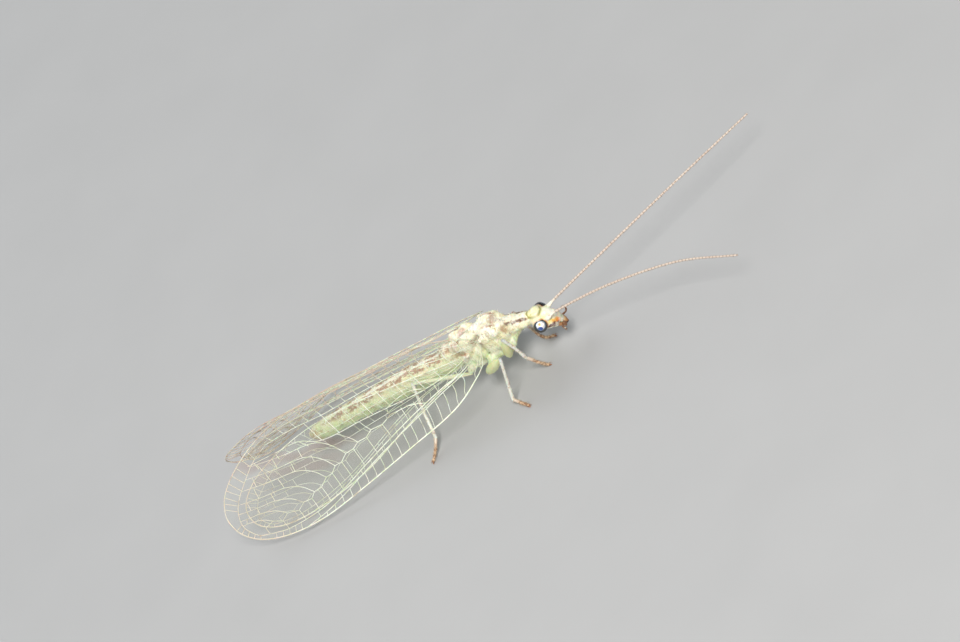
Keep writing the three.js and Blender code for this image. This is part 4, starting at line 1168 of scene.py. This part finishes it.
def forewing_net():
    net = [
        (MAIN, traced(subcosta, 0, 10.6)),
        (MAIN * 1.1, traced(radius, 0, 12.2)),
        (THIN, traced(media, 0, 11.6)),
        (THIN, traced(cubitus, 0, 10.4)),
        (THIN, flow([(*p, 0) for p in around_apex], 0.2)),
        (THIN, flow([(0, 0.04, 0), (0.8, 0.3, 0), (1.5, 0.62, 0), (2.1, 0.98, 0)], 0.2)),
        (FINE, flow([(1.5, 0.62, 0), (2.2, 0.72, 0), (3.0, 1.22, 0)], 0.2)),
        (THIN, flow([(3.0, -0.3, 0), (3.6, -0.02, 0), (4.2, 0.04, 0), (4.91, -0.03, 0)], 0.2)),
    ]
    # The costal field: a row of bowed cross veins from the margin to the subcosta
    for i in range(24):
        at = 0.72 + 0.47 * i if i > 1 else 0.5 + 0.4 * i
        if at > 10.5:
            break
        lean = 0.1 + 0.34 * math.exp(-max(0, at - 1.2) / 0.9)
        start = min(at - 0.02, max(0.15, at - lean))
        low, high = margin(at, "fore"), subcosta(start)
        bow = [
            (start, high, 0),
            (start + 0.03, high + (low - high) * 0.35, 0),
            (at - 0.04, high + (low - high) * 0.75, 0),
            (at, low, 0),
        ]
        net.append((FINE, flow(bow, 0.1)))
    for i in range(5):
        outer, inner = 10.9 + 0.3 * i, 10.8 + 0.3 * i
        net.append((FINE * 0.8, [(outer, margin(outer, "fore")), (inner, radius(inner))]))
    for at in (0.7, 2.1, 3.4, 4.7, 6.0, 7.3, 8.6, 9.9):
        net.append((FINE * 0.8, [(at, subcosta(at)), (at, radius(at))]))
    # The radial sector zigzags: a cross vein meets each low corner, and a branch leaves each high one
    zigzag = [(3.3, radius(3.3)), (3.7, -0.57), (4.05, -0.45)]
    for high, low in zip(high_corners, low_corners):
        zigzag += [(high, sector_high(high)), (low, sector_low(low))]
        net.append((FINE, [(low, sector_low(low)), (low - 0.05, radius(low - 0.05))]))
    net.append((THIN, zigzag))
    for at in (3.75, 4.35, 1.5, 2.6):
        other = (at, sector_high(at + 0.4)) if at > 3.3 else (at, media(at))
        net.append((FINE, [other, (at, radius(at))]))
    knees = []
    for n, high in enumerate(high_corners):
        if n < 3:
            reach = high + (0, 0.26, 0.63)[n]
            middle = (high + 0.05 + 0.1 * n, (sector_high(high) + media(reach)) / 2 - 0.02, 0)
            net.append((FINE, flow([(high, sector_high(high), 0), middle, (reach, media(reach), 0)], 0.15)))
            continue
        rise = 1.11 - 0.1 * (n - 3)
        knee = (high + 1.08, sector_high(high) + rise)
        room = [p for p in flow([(*q, 0) for q in around_apex], 0.1) if p[0] > knee[0] and p[1] > knee[1]]
        end = min(room, key=lambda p: abs(p[1] - knee[1] - 0.24 * (p[0] - knee[0])))
        bend = (high + 0.42, sector_high(high) + rise * 0.58, 0)
        beyond_knee = (knee[0] + (end[0] - knee[0]) / 2, knee[1] + (end[1] - knee[1]) * 0.45, 0)
        branch = flow([(high, sector_high(high), 0), bend, (*knee, 0), beyond_knee, tuple(end)], 0.15)
        net.append((FINE, branch))
        knees.append((knee, branch))
    # Two rows of step-like cross veins join neighbouring branches
    for (_, upper), (knee, lower) in zip(knees, knees[1:]):
        for beyond in (0.05, 1.25, 1.95):
            at = knee[0] + beyond
            ends = [[p for p in line if p[0] <= at] for line in (upper, lower)]
            if at < upper[-1][0] - 0.1 and at < lower[-1][0] - 0.1:
                net.append((FINE * 1.1, [tuple(ends[0][-1])[:2], tuple(ends[1][-1])[:2]]))
    net.append((FINE, [(8.74, 0.57), (9.04, 0.95)]))
    net.append((FINE, [(10.17, 0.82), (10.22, 1.12)]))
    net.append((FINE, [(11.2, 0.97), (11.25, 1.27)]))
    # Slanting cells between media and cubitus, then forked veins to the hind margin
    for i in range(9):
        at = 1.3 + 0.85 * i
        net.append((FINE, [(at, media(at)), (at + 0.32, cubitus(at + 0.32))]))
    for i in range(13):
        at = 2.6 + 0.62 * i
        fork = (at + 0.2, (cubitus(at + 0.2) * 0.45 + margin(at + 0.2, "hind") * 0.55))
        net.append((FINE, [(at, cubitus(at)), fork]))
        for lean in (0.08, 0.36):
            net.append((FINE * 0.9, [fork, (at + lean, margin(at + lean, "hind"))]))
    for at in (0.8, 1.6):
        net.append((FINE, [(at, cubitus(at)), (at + 0.1, margin(at + 0.1, "hind"))]))
    # Short veins from the line round the apex to the margin
    turns = [0.98 + 0.058 * i for i in range(9)]
    for turn in turns:
        u = FOREWING["length"] * math.sin(turn)
        for edge in ("fore", "hind"):
            if edge == "fore" and u < 12.6:
                continue
            outer = Vector((u, margin(u, edge)))
            line = [Vector(p[:2]) for p in flow([(*q, 0) for q in around_apex], 0.08)]
            inner = min(line, key=lambda p: (p - outer).length)
            net.append((FINE, [tuple(inner), tuple(outer)]))
    return net


vein_paint, tree, shader = new_material(
    "vein", roughness=0.35, subsurface_weight=0.2, subsurface_scale=0.0001
)
place = millimetres(tree)
x, y, z = split(tree, place)
speckled = noise_of(tree, place, 3.0, 3.0)
colour = painted(tree, (0.64, 0.71, 0.48), (0.84, 0.85, 0.74), fade(tree, speckled, 0.35, 0.6))
colour = painted(tree, colour, (0.7, 0.6, 0.46), all_of(tree, fade(tree, x, -10.5, -15), 0.85))
on_left = all_of(tree, fade(tree, y, 0.1, 0.4), fade(tree, speckled, 0.44, 0.58), 0.7)
colour = painted(tree, colour, (0.48, 0.34, 0.25), on_left)
colour = painted(tree, colour, (0.44, 0.3, 0.22), all_of(tree, fade(tree, z, 2.84, 3.06), 0.7))
near_root = all_of(tree, fade(tree, x, -3.6, -2.6), 0.7)
colour = painted(tree, colour, (0.6, 0.64, 0.46), near_root)
# Painted shadow: dark stretches along the veins, for the specks of shade along the net
painted_shadow_stretches = all_of(tree, fade(tree, noise_of(tree, place, 1.7), 0.6, 0.72), 0.6)
colour = painted(tree, colour, (0.3, 0.2, 0.12), painted_shadow_stretches)
tree.links.new(colour, shader.inputs["Base Color"])

membrane_paint, tree, shader = new_material(
    "wing_membrane", roughness=0.18, thin_film_thickness=420.0, thin_film_ior=1.4, specular_ior_level=0.8
)
place = millimetres(tree)
u, w, _ = along_piece(tree)
sheen = calculate(tree, "SUBTRACT", noise_of(tree, place, 0.7, 2.0), 0.5)
# A painted sheen, rosy brown, lies in a long soft band from the middle of the wing to the hind side of its
# apex
band_slope = calculate(tree, "MULTIPLY", u, 0.318)
band_middle = calculate(tree, "ADD", band_slope, calculate(tree, "ADD", sheen, -2.4))
off_band = calculate(tree, "ABSOLUTE", calculate(tree, "SUBTRACT", w, band_middle))
band = all_of(tree, fade(tree, off_band, 0.34, 0.08), fade(tree, u, 5.6, 8.0))
# The band's rosy brown colour is painted sheen, and the band is a little less clear
colour = painted(tree, (0.5, 0.52, 0.4), (0.42, 0.25, 0.18), band)
tree.links.new(colour, shader.inputs["Base Color"])
hardly_seen = calculate(tree, "ADD", calculate(tree, "MULTIPLY", band, 0.06), 0.04)
tree.links.new(hardly_seen, shader.inputs["Alpha"])
waves = noise_of(tree, place, 2.2, 2.0)
add_bump(tree, shader, waves, 0.06)

wing_hair = hair_paint("wing_hair", (0.74, 0.68, 0.58))
ALONG_STEPS, ACROSS_STEPS = 96, 30
MEMBRANE_THICKNESS = 0.008
VEIN_STEP = 0.25
VEIN_HAIR_CHANCE = 0.55
VEIN_HAIR_LENGTHS = (0.06, 0.11)
MARGIN_HAIR_LENGTHS = (0.06, 0.1)
MARGIN_HAIRS = 3  # on each stretch of the margin
HINDWING_VEIN_SHARE = 0.65
net = forewing_net()
for side, side_name in ((-1, "right"), (1, "left")):
    for wing, wing_name in ((FOREWING, "forewing"), (HINDWING, "hindwing")):
        node = f"{wing_name}_{side_name}"
        shape = new_shape()
        for i in range(ALONG_STEPS):
            u = wing["length"] * math.sin(math.pi / 2 * i / ALONG_STEPS)
            for j in range(ACROSS_STEPS + 1):
                share = j / ACROSS_STEPS
                w = (share * (wing["fore"](u) + wing["hind"](u)) - wing["fore"](u)) * round_off(wing, u)
                shape["corners"].append(wing_point(wing, side, u, w))
                shape["marks"].append((u, w))
                if i > 0 and j > 0:
                    a = i * (ACROSS_STEPS + 1) + j
                    corners = (a, a - 1, a - ACROSS_STEPS - 2, a - ACROSS_STEPS - 1)
                    shape["faces"].append(corners if side < 0 else corners[::-1])
        shape["finishes"] = [0] * len(shape["faces"])
        membrane = mesh_of(f"membrane_{node}", shape)
        bpy.context.view_layer.objects.active = membrane
        thickness = membrane.modifiers.new("thickness", "SOLIDIFY")
        thickness.thickness = MEMBRANE_THICKNESS * MM
        bpy.ops.object.modifier_apply(modifier="thickness")
        finish_piece(membrane, [membrane_paint], [node])

        veins, hairs = new_shape(), new_shape()
        outline = [(wing["length"] * math.sin(math.pi / 2 * i / 60), "fore") for i in range(61)]
        outline += [(u, "hind") for u, _ in reversed(outline[:-1])]
        edge = []
        for u, name in outline:
            w = (-wing["fore"](u) if name == "fore" else wing["hind"](u)) * round_off(wing, u)
            edge.append((u, w, name))
        thick = []
        for u, w, name in edge:
            stout = COSTA * (0.9 if name == "fore" else 0.5) * (1 - 0.35 * u / wing["length"]) + 0.009
            thick.append(stout * min(1, 0.4 + 0.5 * u))
        add_tube(veins, [wing_point(wing, side, u, w) for u, w, _ in edge], thick, 8, rounded=False)
        for size, line in net:
            stops = []
            for start, end in zip(line, line[1:]):
                count = max(1, math.ceil(math.dist(start[:2], end[:2]) / VEIN_STEP))
                for k in range(count):
                    stops.append([a + (b - a) * k / count for a, b in zip(start[:2], end[:2])])
            stops.append(tuple(line[-1])[:2])
            path = [wing_point(wing, side, *fitted(wing, *stop)) for stop in stops]
            kept = [path[0]] + [q for p, q in zip(path, path[1:]) if (q - p).length > 0.01]
            if len(kept) < 2:
                continue
            size *= 1 if wing is FOREWING else HINDWING_VEIN_SHARE
            thick = [size * (1 - 0.3 * n / len(kept)) for n in range(len(kept))]
            if stops[0][0] == 0:
                thick = [r * min(1, 0.35 + 0.3 * (kept[0].x - q.x)) for r, q in zip(thick, kept)]
            add_tube(veins, kept, thick, 6, rounded=False)
            for n in range(len(kept) - 1):
                if dice.random() < VEIN_HAIR_CHANCE:
                    out = Vector((dice.uniform(-0.3, 0.3), side * math.sin(ROOF_ANGLE), math.cos(ROOF_ANGLE)))
                    way = (kept[n + 1] - kept[n]).normalized() * 0.5 + out
                    patch = (-kept[n].x / 20, kept[n].z / 8)
                    add_hair(hairs, kept[n], way, dice.uniform(*VEIN_HAIR_LENGTHS), 0.004, patch)
        finish_piece(mesh_of(f"veins_{node}", veins), [vein_paint], [node])
        for (u, w, _), (next_u, next_w, _) in zip(edge, edge[1:]):
            for _ in range(MARGIN_HAIRS):
                t = dice.random()
                root_u, root_w = u + (next_u - u) * t, w + (next_w - w) * t
                root = wing_point(wing, side, root_u, root_w)
                beyond = wing_point(wing, side, root_u + 0.05, root_w * 1.1 + math.copysign(0.05, w))
                way = (beyond - root).normalized()
                patch = (-root.x / 20, root.z / 8)
                add_hair(hairs, root, way, dice.uniform(*MARGIN_HAIR_LENGTHS), 0.004, patch)
        finish_piece(mesh_of(f"hair_{node}", hairs, uv_name="OFBake"), [wing_hair])
